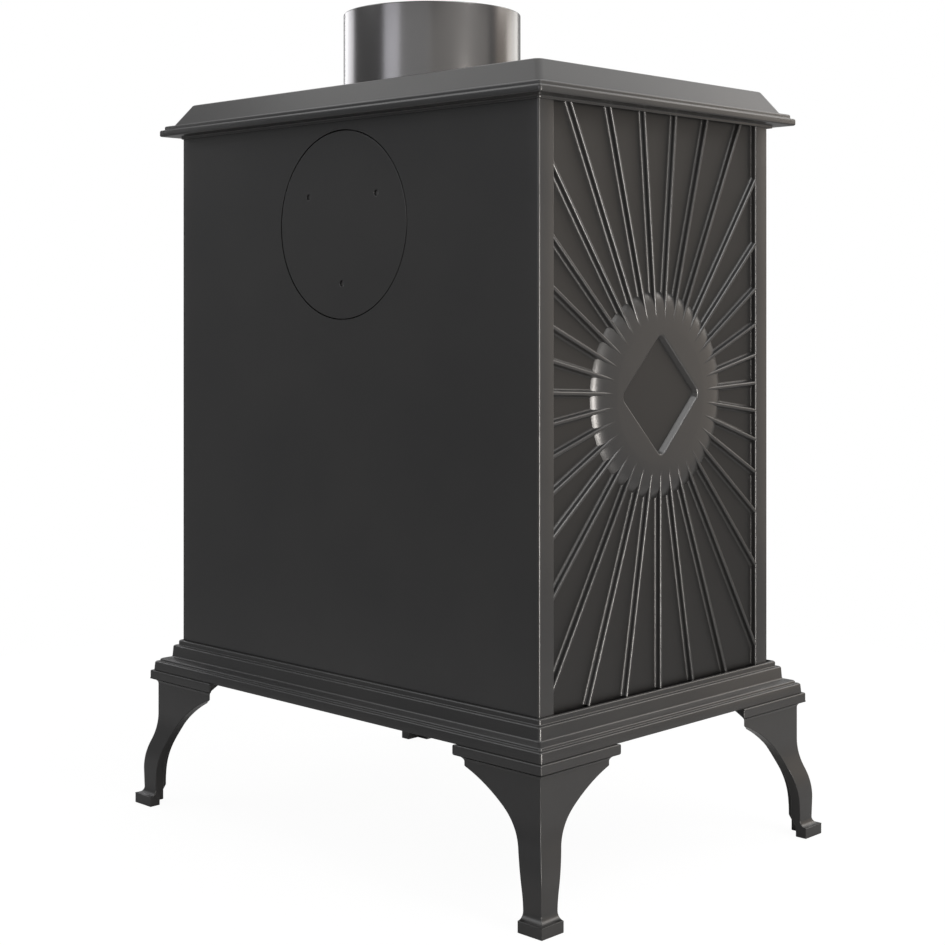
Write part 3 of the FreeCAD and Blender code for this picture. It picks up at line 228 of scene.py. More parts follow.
class Finish(Graph):
    """A material made of one glossy surface, with its patterns in Object coordinates."""

    def __init__(self, name):
        self.material = bpy.data.materials.new(name)
        self.material.use_nodes = True
        super().__init__(self.material.node_tree)
        self.tree.nodes.clear()
        self.place = self.add("ShaderNodeTexCoord", output="Object")

    def axis(self, name):
        """One of the Object coordinates."""
        return self.add("ShaderNodeSeparateXYZ", {}, {0: self.place}, name)

    def noise(self, scale, detail=2.0, roughness=0.5, place=None):
        inputs = {"Vector": place or self.place, "Scale": scale, "Detail": detail, "Roughness": roughness}
        return self.add("ShaderNodeTexNoise", {}, inputs, "Fac")

    def cells(self, scale):
        return self.add("ShaderNodeTexVoronoi", {}, {"Vector": self.place, "Scale": scale}, "Distance")

    def stretched(self, x, y, z):
        """Object coordinates drawn out along the axes with small numbers."""
        return self.add("ShaderNodeMapping", {}, {"Vector": self.place, "Scale": (x, y, z)})

    def ramp(self, value, low, high):
        """A value spread so that low becomes 0 and high becomes 1."""
        limits = {"Value": value, "From Min": low, "From Max": high}
        return self.add("ShaderNodeMapRange", {"clamp": True}, limits)

    def mix(self, share, first, second):
        """Colour between two colours."""
        ends = [part if isinstance(part, Value) else (*part, 1) for part in (first, second)]
        return self.add("ShaderNodeMix", {"data_type": "RGBA"}, {0: share, 6: ends[0], 7: ends[1]}, 2)

    def bump(self, height, strength, distance):
        inputs = {"Height": height, "Strength": strength, "Distance": distance}
        return self.add("ShaderNodeBump", {}, inputs)

    def surface(self, inputs):
        shader = self.add("ShaderNodeBsdfPrincipled", {}, inputs)
        self.add("ShaderNodeOutputMaterial", {}, {"Surface": shader})
        return self.material


def shaded(tint, share):
    """Colour made lighter or darker."""
    return [part * share for part in tint]


def cast_paint(finish, tints, sunk=0.0):
    """Satin paint on cast iron, duller by the share that is sunk, and darker there as painted shade."""
    grain = finish.noise(1500, detail=3.0, roughness=0.6)
    ripple = finish.noise(260)
    cloud = finish.noise(14, detail=3.0)
    worn = finish.ramp(cloud + grain * 0.5, low=0.55, high=0.95)
    shade = finish.mix(worn, tints.iron, tints.iron_light)
    return finish.surface({
        # The sunk share blends in painted shade and raises metallic and roughness
        "Base Color": finish.mix(sunk, shade, tints.iron_painted_shade),
        "Metallic": sunk * 0.3,
        "Roughness": 0.27 + finish.noise(40) * 0.04 + grain * 0.05 + sunk * 0.08,
        "Normal": finish.bump(grain * 0.65 + ripple * 0.35, strength=0.20, distance=0.0002),
    })


def sunburst_paint(tints, field, raised, middle, half):
    """Paint of the side panels.

    It is darkened as painted shade from the field up to the raised distance from the stove's middle, and only
    between the borders.
    """
    finish = Finish("sunburst iron")
    across = finish.axis("X").math("ABSOLUTE")
    along = (finish.axis("Y") - middle).math("ABSOLUTE")
    between = 1 - finish.ramp(along, low=half, high=half + SHADE_BORDER_BLEND)
    # Painted shade mask: the low parts of the relief between the borders
    return cast_paint(finish, tints, (1 - finish.ramp(across, low=field, high=raised)) * between)


def collar_paint(finish, tints):
    grain = finish.noise(1500)
    cloud = finish.noise(22)
    return finish.surface({
        "Base Color": finish.mix(cloud, tints.collar, shaded(tints.collar, 0.85)),
        "Metallic": 0.9,
        "Roughness": 0.20 + cloud * 0.03,
        "Normal": finish.bump(grain, strength=0.06, distance=0.0001),
    })


def fixing_steel(finish, tints):
    wear = finish.noise(420)
    return finish.surface({
        "Base Color": finish.mix(wear, tints.fixing, shaded(tints.fixing, 1.8)),
        "Metallic": 0.8,
        "Roughness": 0.34 + wear * 0.2,
        "Normal": finish.bump(finish.noise(1600), strength=0.15, distance=0.0002),
    })


def sheet_steel(finish, tints):
    rolling = finish.noise(60, detail=3.0, place=finish.stretched(1, 14, 14))
    return finish.surface({
        "Base Color": finish.mix(rolling, tints.sheet, shaded(tints.sheet, 0.72)),
        "Metallic": 0.9,
        "Roughness": 0.38 + rolling * 0.16,
        "Normal": finish.bump(rolling, strength=0.1, distance=0.0002),
    })


def fire_iron(finish, tints):
    scale = finish.noise(90, detail=4.0, roughness=0.65)
    grain = finish.noise(1200, detail=3.0)
    return finish.surface({
        "Base Color": finish.mix(scale, tints.hot, shaded(tints.hot, 1.7)),
        "Roughness": 0.62 + scale * 0.2,
        "Normal": finish.bump(scale * 0.5 + grain * 0.5, strength=0.4, distance=0.0004),
    })


def bright_steel(finish, tints):
    brush = finish.noise(240, detail=3.0, place=finish.stretched(6, 6, 1))
    return finish.surface({
        "Base Color": finish.mix(brush, tints.steel, shaded(tints.steel, 0.86)),
        "Metallic": 1.0,
        "Roughness": 0.22 + brush * 0.14,
        "Normal": finish.bump(brush, strength=0.06, distance=0.0002),
    })


def seal_rope(finish, tints):
    twist = finish.add(
        "ShaderNodeTexWave", {"bands_direction": "DIAGONAL"},
        {"Vector": finish.place, "Scale": 120, "Distortion": 1.5, "Detail": 1.0}, "Fac",
    )
    fibre = finish.noise(900, detail=3.0)
    return finish.surface({
        "Base Color": finish.mix(twist * 0.6 + fibre * 0.4, shaded(tints.seal, 0.6), tints.seal),
        "Roughness": 0.86 + fibre * 0.1,
        "Normal": finish.bump(twist * 0.7 + fibre * 0.3, strength=0.7, distance=0.0008),
    })


def vermiculite(finish, tints):
    flakes = finish.ramp(finish.cells(420), low=0.15, high=0.45)
    dust = finish.noise(700, detail=3.0)
    return finish.surface({
        "Base Color": finish.mix(flakes * 0.7 + dust * 0.3, tints.flake, tints.brick),
        "Roughness": 0.88 + dust * 0.08,
        "Normal": finish.bump(flakes * 0.5 + dust * 0.5, strength=0.5, distance=0.0005),
    })


def fire_glass(finish, tints):
    haze = finish.noise(30)
    return finish.surface({
        "Base Color": finish.mix(haze, tints.glass, shaded(tints.glass, 1.4)),
        "Roughness": 0.04 + haze * 0.05,
        "Alpha": 0.34 + haze * 0.08,
    })


def studio_floor(tints, share):
    """Pale floor that the camera sees almost without shadows."""
    finish = Finish("studio floor")
    paper = finish.add("ShaderNodeBsdfPrincipled", {}, {
        "Base Color": finish.mix(finish.noise(6), tints.floor, shaded(tints.floor, 0.99)),
        "Roughness": 0.75 + finish.noise(40) * 0.1,
    })
    white = finish.add("ShaderNodeEmission", {}, {"Color": (1, 1, 1, 1), "Strength": 1.06})
    seen = finish.add("ShaderNodeLightPath", output="Is Camera Ray")
    shown = finish.add("ShaderNodeMixShader", {}, {0: seen * share, 1: paper, 2: white})
    finish.add("ShaderNodeOutputMaterial", {}, {"Surface": shown})
    return finish.material


# Frame slot: name of its finish, and what mixes it
FINISHES = {
    "black_iron": ("black iron", cast_paint),
    "flue_steel": ("flue steel", collar_paint),
    "fixings": ("fixing steel", fixing_steel),
    "inner_steel": ("inner steel", sheet_steel),
    "hot_iron": ("hot iron", fire_iron),
    "bright_steel": ("bright steel", bright_steel),
    "seal": ("seal rope", seal_rope),
    "firebrick": ("brick lining", vermiculite),
    "window": ("smoky glass", fire_glass),
}
# Painted shade of the sunburst's field fades out over this width beside a border, and over this share of the
# relief
SHADE_BORDER_BLEND = 0.0005
SHADE_RELIEF_BLEND = 0.3

# Corners of the mouldings in plan, wider above the foot of the top plate's crown
PLAN_CORNER = 0.0015
CROWN_CORNER = 0.0035
CROWN_FOOT = 0.4287
# Height at which the moulded head of a leg starts
LEG_HEAD = 0.0775

# Mouldings round the body: offset from the panels and height in millimetres, and share of the edge rounding
PLINTH = (
    (1.2, 84.0, 0), (13.2, 84.0, 0.2), (12.7, 89.7, 1), (10.5, 89.7, 0.6), (10.5, 91.2, 1),
    (5.05, 92.5, 1.2), (4.55, 99.8, 1), (2.1, 99.8, 0.6), (2.1, 103.0, 1), (0.3, 103.0, 0),
)
TOP_PLATE = (
    (0.3, 420.4, 0), (1.0, 420.4, 0.3), (1.0, 422.0, 0.6), (10.7, 422.0, 1), (10.7, 426.0, 1),
    (8.5, 426.0, 0.6), (8.5, 428.6, 1), (4.9, 428.6, 0.8), (-3.8, 442.0, 1.6), (-4.8, 441.97, 0),
)

# Faces round a full turn
DISC_STEPS = 144
COLLAR_STEPS = 192
FLOOR_STEPS = 128

SLOT_OF = {part["node"]: part["material_slot"] for part in frame["record"]["subparts"]}
BODY_OF = {node: body for body, nodes in frame["record"]["behaviour"]["bodies"].items() for node in nodes}


def new_piece(name, mesh):
    piece = bpy.data.objects.new(name, mesh)
    bpy.context.scene.collection.objects.link(piece)
    return piece


def settle(piece):
    """Turn a piece's modifiers into plain mesh."""
    graph = bpy.context.evaluated_depsgraph_get()
    mesh = bpy.data.meshes.new_from_object(
        piece.evaluated_get(graph), preserve_all_data_layers=True, depsgraph=graph
    )
    piece.modifiers.clear()
    piece.data = mesh


def soften(piece, width, steps=3, limit="ANGLE"):
    """Round the sharp edges of a piece, or those that have a bevel weight."""
    bevel = piece.modifiers.new("rounded edges", "BEVEL")
    bevel.limit_method = limit
    bevel.angle_limit = SHARP
    bevel.width = width
    bevel.segments = steps
    bevel.use_clamp_overlap = False
    settle(piece)
    smooth(piece)
    flats = piece.modifiers.new("flat faces", "WEIGHTED_NORMAL")
    flats.weight = 100
    flats.keep_sharp = True
    settle(piece)


def smooth(piece):
    """Shade a piece smooth but for its sharp edges."""
    for face in piece.data.polygons:
        face.use_smooth = True
    piece.data.set_sharp_from_angle(angle=SHARP)


def hand_over(piece, node, replaced=True, paint=None):
    """Give a piece the finish and the body of a frame node, and let it stand for that node."""
    slot = SLOT_OF[node]
    piece.data.materials.clear()
    piece.data.materials.append(paint or bpy.data.materials[FINISHES[slot][0]])
    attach(piece, BODY_OF[node])
    if replaced:
        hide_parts(node)


def flat_copy(node, opening=None):
    """Copy of a frame node's mesh with its triangles joined into flat faces.

    Faces that run round an opening are cut across its middle, or the rounding would close the opening.
    """
    mesh = frame["nodes"][node].data.copy()
    shell = bmesh.new()
    shell.from_mesh(mesh)
    bmesh.ops.remove_doubles(shell, verts=shell.verts, dist=WELD)
    bmesh.ops.dissolve_limit(shell, angle_limit=FLAT, verts=shell.verts, edges=shell.edges)
    if opening:
        for across in (Vector((1, 0, 0)), Vector((0, 0, 1))):
            parts = shell.verts[:] + shell.edges[:] + shell.faces[:]
            bmesh.ops.bisect_plane(shell, geom=parts, dist=WELD, plane_co=opening, plane_no=across)
    shell.to_mesh(mesh)
    shell.free()
    return mesh


def box_of(node):
    """Least and greatest corner of a frame node."""
    corners = frame["nodes"][node].bound_box
    return Vector(corners[0]), Vector(corners[6])


def keep_within(piece, node):
    """Bring back the points of narrow corners that the rounding threw out of the node's box."""
    low, high = box_of(node)
    for vert in piece.data.vertices:
        vert.co = [min(max(place, least), most) for place, least, most in zip(vert.co, low, high)]


def cast_pieces(nodes, width, opening=None):
    """Frame nodes as castings with rounded edges."""
    for node in nodes:
        piece = new_piece(node + "_casting", flat_copy(node, opening))
        soften(piece, width)
        keep_within(piece, node)
        hand_over(piece, node)


def mesh_of(shell, name):
    bmesh.ops.recalc_face_normals(shell, faces=shell.faces)
    mesh = bpy.data.meshes.new(name)
    shell.to_mesh(mesh)
    shell.free()
    return mesh


def turns(steps):
    """Even steps of a full turn."""
    return [2 * math.pi * k / steps for k in range(steps)]


def skin(shell, rings):
    """Faces between each ring of points and the next. A ring may be a single point."""
    for lower, upper in zip(rings, rings[1:]):
        steps = max(len(lower), len(upper))
        for k in range(steps):
            after = (k + 1) % steps
            corners = [lower[k % len(lower)], lower[after % len(lower)]]
            corners += [upper[after % len(upper)], upper[k % len(upper)]]
            shell.faces.new(list(dict.fromkeys(corners)))


def loft(first, second, name):
    """Closed body between two outlines of as many points."""
    shell = bmesh.new()
    rings = [[shell.verts.new(point) for point in points] for points in (first, second)]
    for ring in rings:
        shell.faces.new(ring)
    skin(shell, rings)
    return mesh_of(shell, name)


def turned(profile, steps, name):
    """Solid of revolution about the local Z axis, from radius and height pairs that start and end on it."""
    shell = bmesh.new()
    rings = []
    for r, z in profile:
        spots = [(r * math.cos(t), r * math.sin(t), z) for t in turns(steps)] if r else [(0, 0, z)]
        rings.append([shell.verts.new(spot) for spot in spots])
    skin(shell, rings)
    return mesh_of(shell, name)


def ring_turned(section, steps, name):
    """Ring of revolution about the Z axis, from a closed outline of radius and height pairs."""
    shell = bmesh.new()
    rings = []
    for t in turns(steps):
        rings.append([shell.verts.new((r * math.cos(t), r * math.sin(t), z)) for r, z in section])
    skin(shell, rings + rings[:1])
    return mesh_of(shell, name)


def filleted(corners, steps=6):
    """Outline through corners in the plane, each given with its own rounding."""
    points = []
    for k, (x, y, radius) in enumerate(corners):
        corner = Vector((x, y))
        if radius == 0:
            points.append(corner)
            continue
        back = (Vector(corners[k - 1][:2]) - corner).normalized()
        ahead = (Vector(corners[(k + 1) % len(corners)][:2]) - corner).normalized()
        half = back.angle(ahead) / 2
        middle = corner + (back + ahead).normalized() * radius / math.sin(half)
        first = corner + back * radius / math.tan(half) - middle
        last = corner + ahead * radius / math.tan(half) - middle
        sweep = math.pi - 2 * half
        for step in range(steps + 1):
            turn = sweep * step / steps
            arm = first * math.sin(sweep - turn) + last * math.sin(turn)
            points.append(middle + arm / math.sin(sweep))
    return points


def panel_frame(side, centre):
    """Local X along the panel, Y up and Z outward, at the disc's centre in the field."""
    return Matrix((
        (0, 0, side, centre[0]),
        (side, 0, 0, centre[1]),
        (0, 1, 0, centre[2]),
        (0, 0, 0, 1),
    ))


def lozenge_outline(burst, growth, level):
    """The lozenge with its sides moved outward by a growth, at a level above the field."""
    tip = burst.lozenge / 2 + burst.lozenge_round * (math.sqrt(2) - 1) + growth * math.sqrt(2)
    radius = burst.lozenge_round + growth
    corners = [(0, tip, radius), (-tip, 0, radius), (0, -tip, radius), (tip, 0, radius)]
    return [(x, y, level) for x, y in filleted(corners, steps=8)]


def rim_fall(share):
    """Fall of the disc's rim over its width: a gentle slope from the face on, and a steep end."""
    gentle = 0.25
    return gentle * share ** 1.2 + (1 - gentle) * share ** 5


def disc_with_lozenge(burst):
    """Turned disc of the sunburst with the lozenge sunk into its face."""
    rim_steps = 16
    profile = [(0, -burst.relief / 2), (burst.face + burst.rim, -burst.relief / 2)]
    for k in range(rim_steps, -1, -1):
        share = k / rim_steps
        profile.append((burst.face + burst.rim * share, burst.relief * (1 - rim_fall(share))))
    profile.append((0, burst.relief))
    disc = new_piece("disc", turned(profile, DISC_STEPS, "disc"))

    overcut = 0.25
    mouth = lozenge_outline(
        burst, burst.lozenge_draft * overcut, burst.relief + burst.lozenge_depth * overcut
    )
    floor = lozenge_outline(burst, -burst.lozenge_draft, burst.relief - burst.lozenge_depth)
    recess = new_piece("recess", loft(mouth, floor, "recess"))
    cut = disc.modifiers.new("lozenge", "BOOLEAN")
    cut.operation = "DIFFERENCE"
    cut.solver = "EXACT"
    cut.object = recess
    settle(disc)
    bpy.data.objects.remove(recess)
    mesh = disc.data
    weights = mesh.attributes.new("bevel_weight_edge", "FLOAT", "EDGE")
    height_margin = 0.00001
    face_margin = 0.001
    for edge in mesh.edges:
        ends = [mesh.vertices[k].co for k in edge.vertices]
        level = max(abs(end.z - burst.relief) for end in ends) < height_margin
        within = max(end.xy.length for end in ends) < burst.face - face_margin
        weights.data[edge.index].value = level and within
    return disc


def rib_mesh(burst):
    """One ray of unit length along X: a hollow foot, steep sides, a round crown and closed ends."""
    height = burst.relief - burst.ray_sink
    half = burst.ray_top / 2
    foot = burst.ray_base / 2
    radius = (half ** 2 + burst.ray_crown ** 2) / (2 * burst.ray_crown)
    spread = math.asin(half / radius)
    sunk = -burst.relief / 8
    side = filleted([
        (-foot - burst.fillet, 0, 0), (-foot, 0, burst.fillet), (-half, height - burst.ray_crown, 0),
    ])
    section = [Vector((side[1].x, sunk))] + side[1:-1]
    crown_steps = 10
    for k in range(crown_steps + 1):
        turn = spread * (2 * k / crown_steps - 1)
        section.append(Vector((radius * math.sin(turn), height - radius * (1 - math.cos(turn)))))
    section.extend(Vector((-point.x, point.y)) for point in reversed([section[0]] + side[1:-1]))
    mesh = loft([(0, y, z) for y, z in section], [(1, y, z) for y, z in section], "ray")
    crease = math.radians(50)
    for face in mesh.polygons:
        is_end = abs(face.normal.x) > 0.5
        face.use_smooth = not is_end
    mesh.set_sharp_from_angle(angle=crease)
    return mesh


def ray_tree():
    """Rays round a disc, each drawn out to the edge of the field."""
    tree = bpy.data.node_groups.new("sunburst rays", "GeometryNodeTree")
    tree.interface.new_socket("Rays", in_out="OUTPUT", socket_type="NodeSocketGeometry")
    sockets = {
        "Rib": "NodeSocketObject", "Count": "NodeSocketInt", "Start": "NodeSocketFloat",
        "Side": "NodeSocketFloat", "Up": "NodeSocketFloat", "Down": "NodeSocketFloat",
        "Material": "NodeSocketMaterial",
    }
    for name, kind in sockets.items():
        tree.interface.new_socket(name, in_out="INPUT", socket_type=kind)
    graph = Graph(tree)
    entry = tree.nodes.new("NodeGroupInput")
    given = {name: Value(graph, entry.outputs[name]) for name in sockets}
    index = graph.add("GeometryNodeInputIndex")
    turn = index * (2 * math.pi) / given["Count"] - math.pi / 2
    across = turn.math("COSINE")
    upward = turn.math("SINE")
    least = 0.0001
    to_side = given["Side"] / across.math("ABSOLUTE").math("MAXIMUM", least)
    is_up = upward.math("GREATER_THAN", 0.0)
    room = is_up * given["Up"] + (1 - is_up) * given["Down"]
    to_end = room / upward.math("ABSOLUTE").math("MAXIMUM", least)
    reach = to_side.math("MINIMUM", to_end) - given["Start"]
    middle = graph.add("ShaderNodeCombineXYZ", {}, {0: across * given["Start"], 1: upward * given["Start"]})
    scale = graph.add("ShaderNodeCombineXYZ", {}, {0: reach, 1: 1.0, 2: 1.0})
    rotation = graph.add("ShaderNodeCombineXYZ", {}, {2: turn})
    points = graph.add("GeometryNodeMeshLine", {}, {"Count": given["Count"], "Offset": (0, 0, 0)})
    points = graph.add("GeometryNodeSetPosition", {}, {"Geometry": points, "Position": middle})
    rib = graph.add("GeometryNodeObjectInfo", {}, {"Object": given["Rib"]}, "Geometry")
    rays = graph.add("GeometryNodeInstanceOnPoints", {}, {
        "Points": points, "Instance": rib, "Rotation": rotation, "Scale": scale,
    })
    rays = graph.add("GeometryNodeRealizeInstances", {}, {"Geometry": rays})
    rays = graph.add("GeometryNodeSetMaterial", {}, {"Geometry": rays, "Material": given["Material"]})
    exit_node = tree.nodes.new("NodeGroupOutput")
    tree.links.new(rays.socket, exit_node.inputs["Rays"])
    return tree


def set_inputs(modifier, tree, values):
    """Set a node modifier's inputs by their names."""
    for item in tree.interface.items_tree:
        if item.in_out == "INPUT" and item.name in values:
            modifier[item.identifier] = values[item.name]


def joined(pieces, name):
    """One piece out of several meshes."""
    shell = bmesh.new()
    for piece in pieces:
        shell.from_mesh(piece.data)
    mesh = bpy.data.meshes.new(name)
    shell.to_mesh(mesh)
    shell.free()
    for piece in pieces:
        bpy.data.objects.remove(piece)
    return new_piece(name, mesh)


class STOVE_OT_finishes(bpy.types.Operator):
    """Mix the finishes and give every frame node its own"""

    bl_idname = "stove.finishes"
    bl_label = "Finishes"

    def execute(self, context):
        tints = context.scene.stove_finishes
        for name, mix in FINISHES.values():
            mix(Finish(name), tints)
        for node, slot in SLOT_OF.items():
            mesh = frame["nodes"][node].data
            mesh.materials.clear()
            mesh.materials.append(bpy.data.materials[FINISHES[slot][0]])
        return {"FINISHED"}


class STOVE_OT_mouldings(bpy.types.Operator):
    """Moulded plinth and top plate"""

    bl_idname = "stove.mouldings"
    bl_label = "Plinth and Top Plate"

    def execute(self, context):
        edges = context.scene.stove_edges
        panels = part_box("side_panel_left")[0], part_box("side_panel_right")[1]
        low = Vector((panels[0][0], panels[0][1] - edges.front_proud))
        high = Vector(panels[1][:2])
        for node, profile in (("base_plinth", PLINTH), ("top_plate", TOP_PLATE)):
            corners = [(out / 1000, z / 1000, share * edges.moulding) for out, z, share in profile]
            band = new_piece("band", self.band(filleted(corners), low, high))
            core = new_piece("core", self.core(node, corners, low, high))
            smooth(band)
            hand_over(joined([band, core], node + "_casting"), node)
        return {"FINISHED"}

    def band(self, profile, low, high):
        """Open skin that runs round the body along a profile of outward offset and height."""
        shell = bmesh.new()
        rings = []
        for out, z in profile:
            radius = CROWN_CORNER if z > CROWN_FOOT else PLAN_CORNER
            left, right, front, back = low.x - out, high.x + out, low.y - out, high.y + out
            plan = filleted([
                (left, front, radius), (right, front, radius), (right, back, radius), (left, back, radius),
            ])
            rings.append([shell.verts.new((point.x, point.y, z)) for point in plan])
        skin(shell, rings)
        mesh = bpy.data.meshes.new("band")
        shell.to_mesh(mesh)
        shell.free()
        return mesh

    def core(self, node, corners, low, high):
        """What lies inside the skin: the frame node's mesh without its outer faces."""

        def reach(point):
            return max(low.x - point.x, point.x - high.x, low.y - point.y, point.y - high.y)

        mesh = frame["nodes"][node].data.copy()
        shell = bmesh.new()
        shell.from_mesh(mesh)
        bmesh.ops.remove_doubles(shell, verts=shell.verts, dist=WELD)
        rim = corners[-1][0]
        margin = 0.00005
        inside = max(corners[0][0], rim) + margin
        outer = [face for face in shell.faces if max(reach(vert.co) for vert in face.verts) > inside]
        bmesh.ops.delete(shell, geom=outer, context="FACES")
        for vert in shell.verts:
            if rim < 0 and reach(vert.co) > rim:
                self.draw_in(vert, low, high, rim)
        for face in shell.faces:
            face.smooth = False
        shell.to_mesh(mesh)
        shell.free()
        return mesh

    def draw_in(self, vert, low, high, rim):
        """Move a vertex at the edge of the flat hob in to the end of the skin."""
        arm = CROWN_CORNER - rim
        heart = Vector((
            min(max(vert.co.x, low.x + arm), high.x - arm),
            min(max(vert.co.y, low.y + arm), high.y - arm),
        ))
        way = (vert.co.xy - heart).normalized()
        vert.co.xy = heart + way * CROWN_CORNER


class STOVE_OT_legs(bpy.types.Operator):
    """Four bracket legs"""

    bl_idname = "stove.legs"
    bl_label = "Legs"

    def execute(self, context):
        legs = [node for node in SLOT_OF if node.startswith("leg_") and node != "leg_bolts"]
        for node in legs:
            piece = new_piece(node + "_casting", flat_copy(node))
            self.weigh_edges(piece.data)
            soften(piece, context.scene.stove_edges.leg, limit="WEIGHT")
            keep_within(piece, node)
            hand_over(piece, node)
        return {"FINISHED"}

    def weigh_edges(self, mesh):
        """Full rounding for the moulded head of a leg and half of it for the rest."""
        shell = bmesh.new()
        shell.from_mesh(mesh)
        weights = mesh.attributes.new("bevel_weight_edge", "FLOAT", "EDGE")
        for edge in shell.edges:
            if edge.calc_face_angle(0) > SHARP:
                head = min(end.co.z for end in edge.verts) > LEG_HEAD
                weights.data[edge.index].value = 1 if head else 0.5
        shell.free()


class STOVE_OT_back(bpy.types.Operator):
    """Cover of the back's flue outlet. The plain back is the frame's own"""

    bl_idname = "stove.back"
    bl_label = "Back and Cover"

    def execute(self, context):
        cast_pieces(("rear_cover",), context.scene.stove_edges.fitting)
        return {"FINISHED"}


class STOVE_OT_side_panels(bpy.types.Operator):
    """Side panels with the sunburst relief"""

    bl_idname = "stove.side_panels"
    bl_label = "Sunburst Panels"

    def execute(self, context):
        burst = context.scene.stove_sunburst
        edges = context.scene.stove_edges
        tree = ray_tree()
        low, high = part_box("side_panel_right")
        # Paint of the panels, with painted shade over the low field between the borders
        paint = sunburst_paint(
            context.scene.stove_finishes,
            field=high[0] - burst.relief, raised=high[0] - burst.relief * (1 - SHADE_RELIEF_BLEND),
            middle=(low[1] + high[1]) / 2, half=(high[1] - low[1]) / 2 - burst.border,
        )
        for node, side in (("side_panel_left", -1), ("side_panel_right", 1)):
            self.panel(node, side, burst, edges, tree, paint)
        return {"FINISHED"}

    def panel(self, node, side, burst, edges, tree, paint):
        """One panel with its disc, and its rays as a piece of their own."""
        low, high = [Vector(corner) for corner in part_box(node)]
        outer = side * max(abs(low.x), abs(high.x))
        field = outer - side * burst.relief
        inner = outer - side * burst.wall
        near, far = high.y - burst.border, low.y + burst.border
        plan = filleted([
            (inner, low.y, 0), (inner, high.y, 0), (outer, high.y, edges.panel),
            (outer, near, edges.moulding), (field, near, edges.fitting), (field, far, edges.fitting),
            (outer, far, edges.moulding), (outer, low.y, edges.panel),
        ])
        foot, head = [[(x, y, z) for x, y in plan] for z in (low.z, high.z)]
        plate = new_piece("plate", loft(foot, head, "plate"))
        smooth(plate)
        middle = Vector((field, (low.y + high.y) / 2, low.z + burst.centre))
        place = panel_frame(side, middle)
        disc = disc_with_lozenge(burst)
        soften(disc, burst.lip, 4, "WEIGHT")
        disc.data.transform(place)
        panel = joined([plate, disc], node + "_casting")
        hand_over(panel, node, paint=paint)

        rib = new_piece("ray", rib_mesh(burst))
        rays = new_piece(node + "_rays", bpy.data.meshes.new("rays"))
        modifier = rays.modifiers.new("rays", "NODES")
        modifier.node_group = tree
        plinth_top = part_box("base_plinth")[1][2]
        set_inputs(modifier, tree, {
            "Rib": rib, "Count": burst.rays, "Start": burst.ray_start,
            "Side": (high.y - low.y - burst.border) / 2,
            "Up": high.z - middle.z, "Down": middle.z - plinth_top,
            "Material": paint,
        })
        settle(rays)
        bpy.data.objects.remove(rib)
        rays.data.transform(place)
        hand_over(rays, node, replaced=False, paint=paint)


class STOVE_OT_flue_collar(bpy.types.Operator):
    """Turned flue collar"""

    bl_idname = "stove.flue_collar"
    bl_label = "Flue Collar"

    def execute(self, context):
        flue = context.scene.stove_flue
        low, high = [Vector(corner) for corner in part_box("flue_collar")]
        inside = flue.bore - flue.ledge
        wall = filleted([
            (inside, low.z, 0), (flue.flange, low.z, 0), (flue.flange, flue.hob, flue.rounding / 2),
            (flue.outside, flue.hob, 0), (flue.outside, flue.rim, flue.rounding),
            (flue.bore, flue.rim, flue.rounding), (flue.bore, flue.seat, 0), (inside, flue.seat, 0),
        ])
        axis = Vector((0, high.y - flue.flange, 0))
        tube = new_piece("tube", ring_turned(wall, COLLAR_STEPS, "tube"))
        tube.data.transform(Matrix.Translation(axis))
        ears = new_piece("ears", self.ears(axis, inside))
        smooth(tube)
        hand_over(joined([tube, ears], "flue_collar_casting"), "flue_collar")
        return {"FINISHED"}

    def ears(self, axis, inside):
        """The lugs inside the collar, from the frame node's mesh."""
        mesh = frame["nodes"]["flue_collar"].data.copy()
        shell = bmesh.new()
        shell.from_mesh(mesh)
        margin = 0.0001
        rest = [
            face for face in shell.faces
            if min((vert.co - axis).xy.length for vert in face.verts) > inside - margin
        ]
        bmesh.ops.delete(shell, geom=rest, context="FACES")
        shell.to_mesh(mesh)
        shell.free()
        return mesh


class STOVE_OT_front(bpy.types.Operator):
    """Front frame, door and ash drawer front"""

    bl_idname = "stove.front"
    bl_label = "Front and Door"

    def execute(self, context):
        edges = context.scene.stove_edges
        cast_pieces(("front_frame",), edges.panel)
        low, high = box_of("door_glass")
        cast_pieces(("door",), edges.door, opening=(low + high) / 2)
        cast_pieces(("ash_front",), edges.door)
        cast_pieces(("door_glass",), edges.fitting)
        return {"FINISHED"}


class STOVE_OT_fittings(bpy.types.Operator):
    """Handle, knobs, latch, air slide and draught wheel"""

    bl_idname = "stove.fittings"
    bl_label = "Handle and Controls"

    def execute(self, context):
        nodes = (
            "handle_spindle", "handle_lever", "handle_grip", "latch_cam", "air_slide", "air_knob",
            "spin_vent", "drawer_pull",
        )
        cast_pieces(nodes, context.scene.stove_edges.fitting)
        return {"FINISHED"}


class STOVE_OT_fire_lining(bpy.types.Operator):
    """Bricks, baffle, fire bed, grate and log guard"""

    bl_idname = "stove.fire_lining"
    bl_label = "Fire Lining"

    def execute(self, context):
        edges = context.scene.stove_edges
        cast_pieces(("firebrick_left", "firebrick_right", "firebrick_back", "baffle"), edges.brick)
        cast_pieces(("fire_bed", "grate", "log_guard"), edges.fitting)
        return {"FINISHED"}


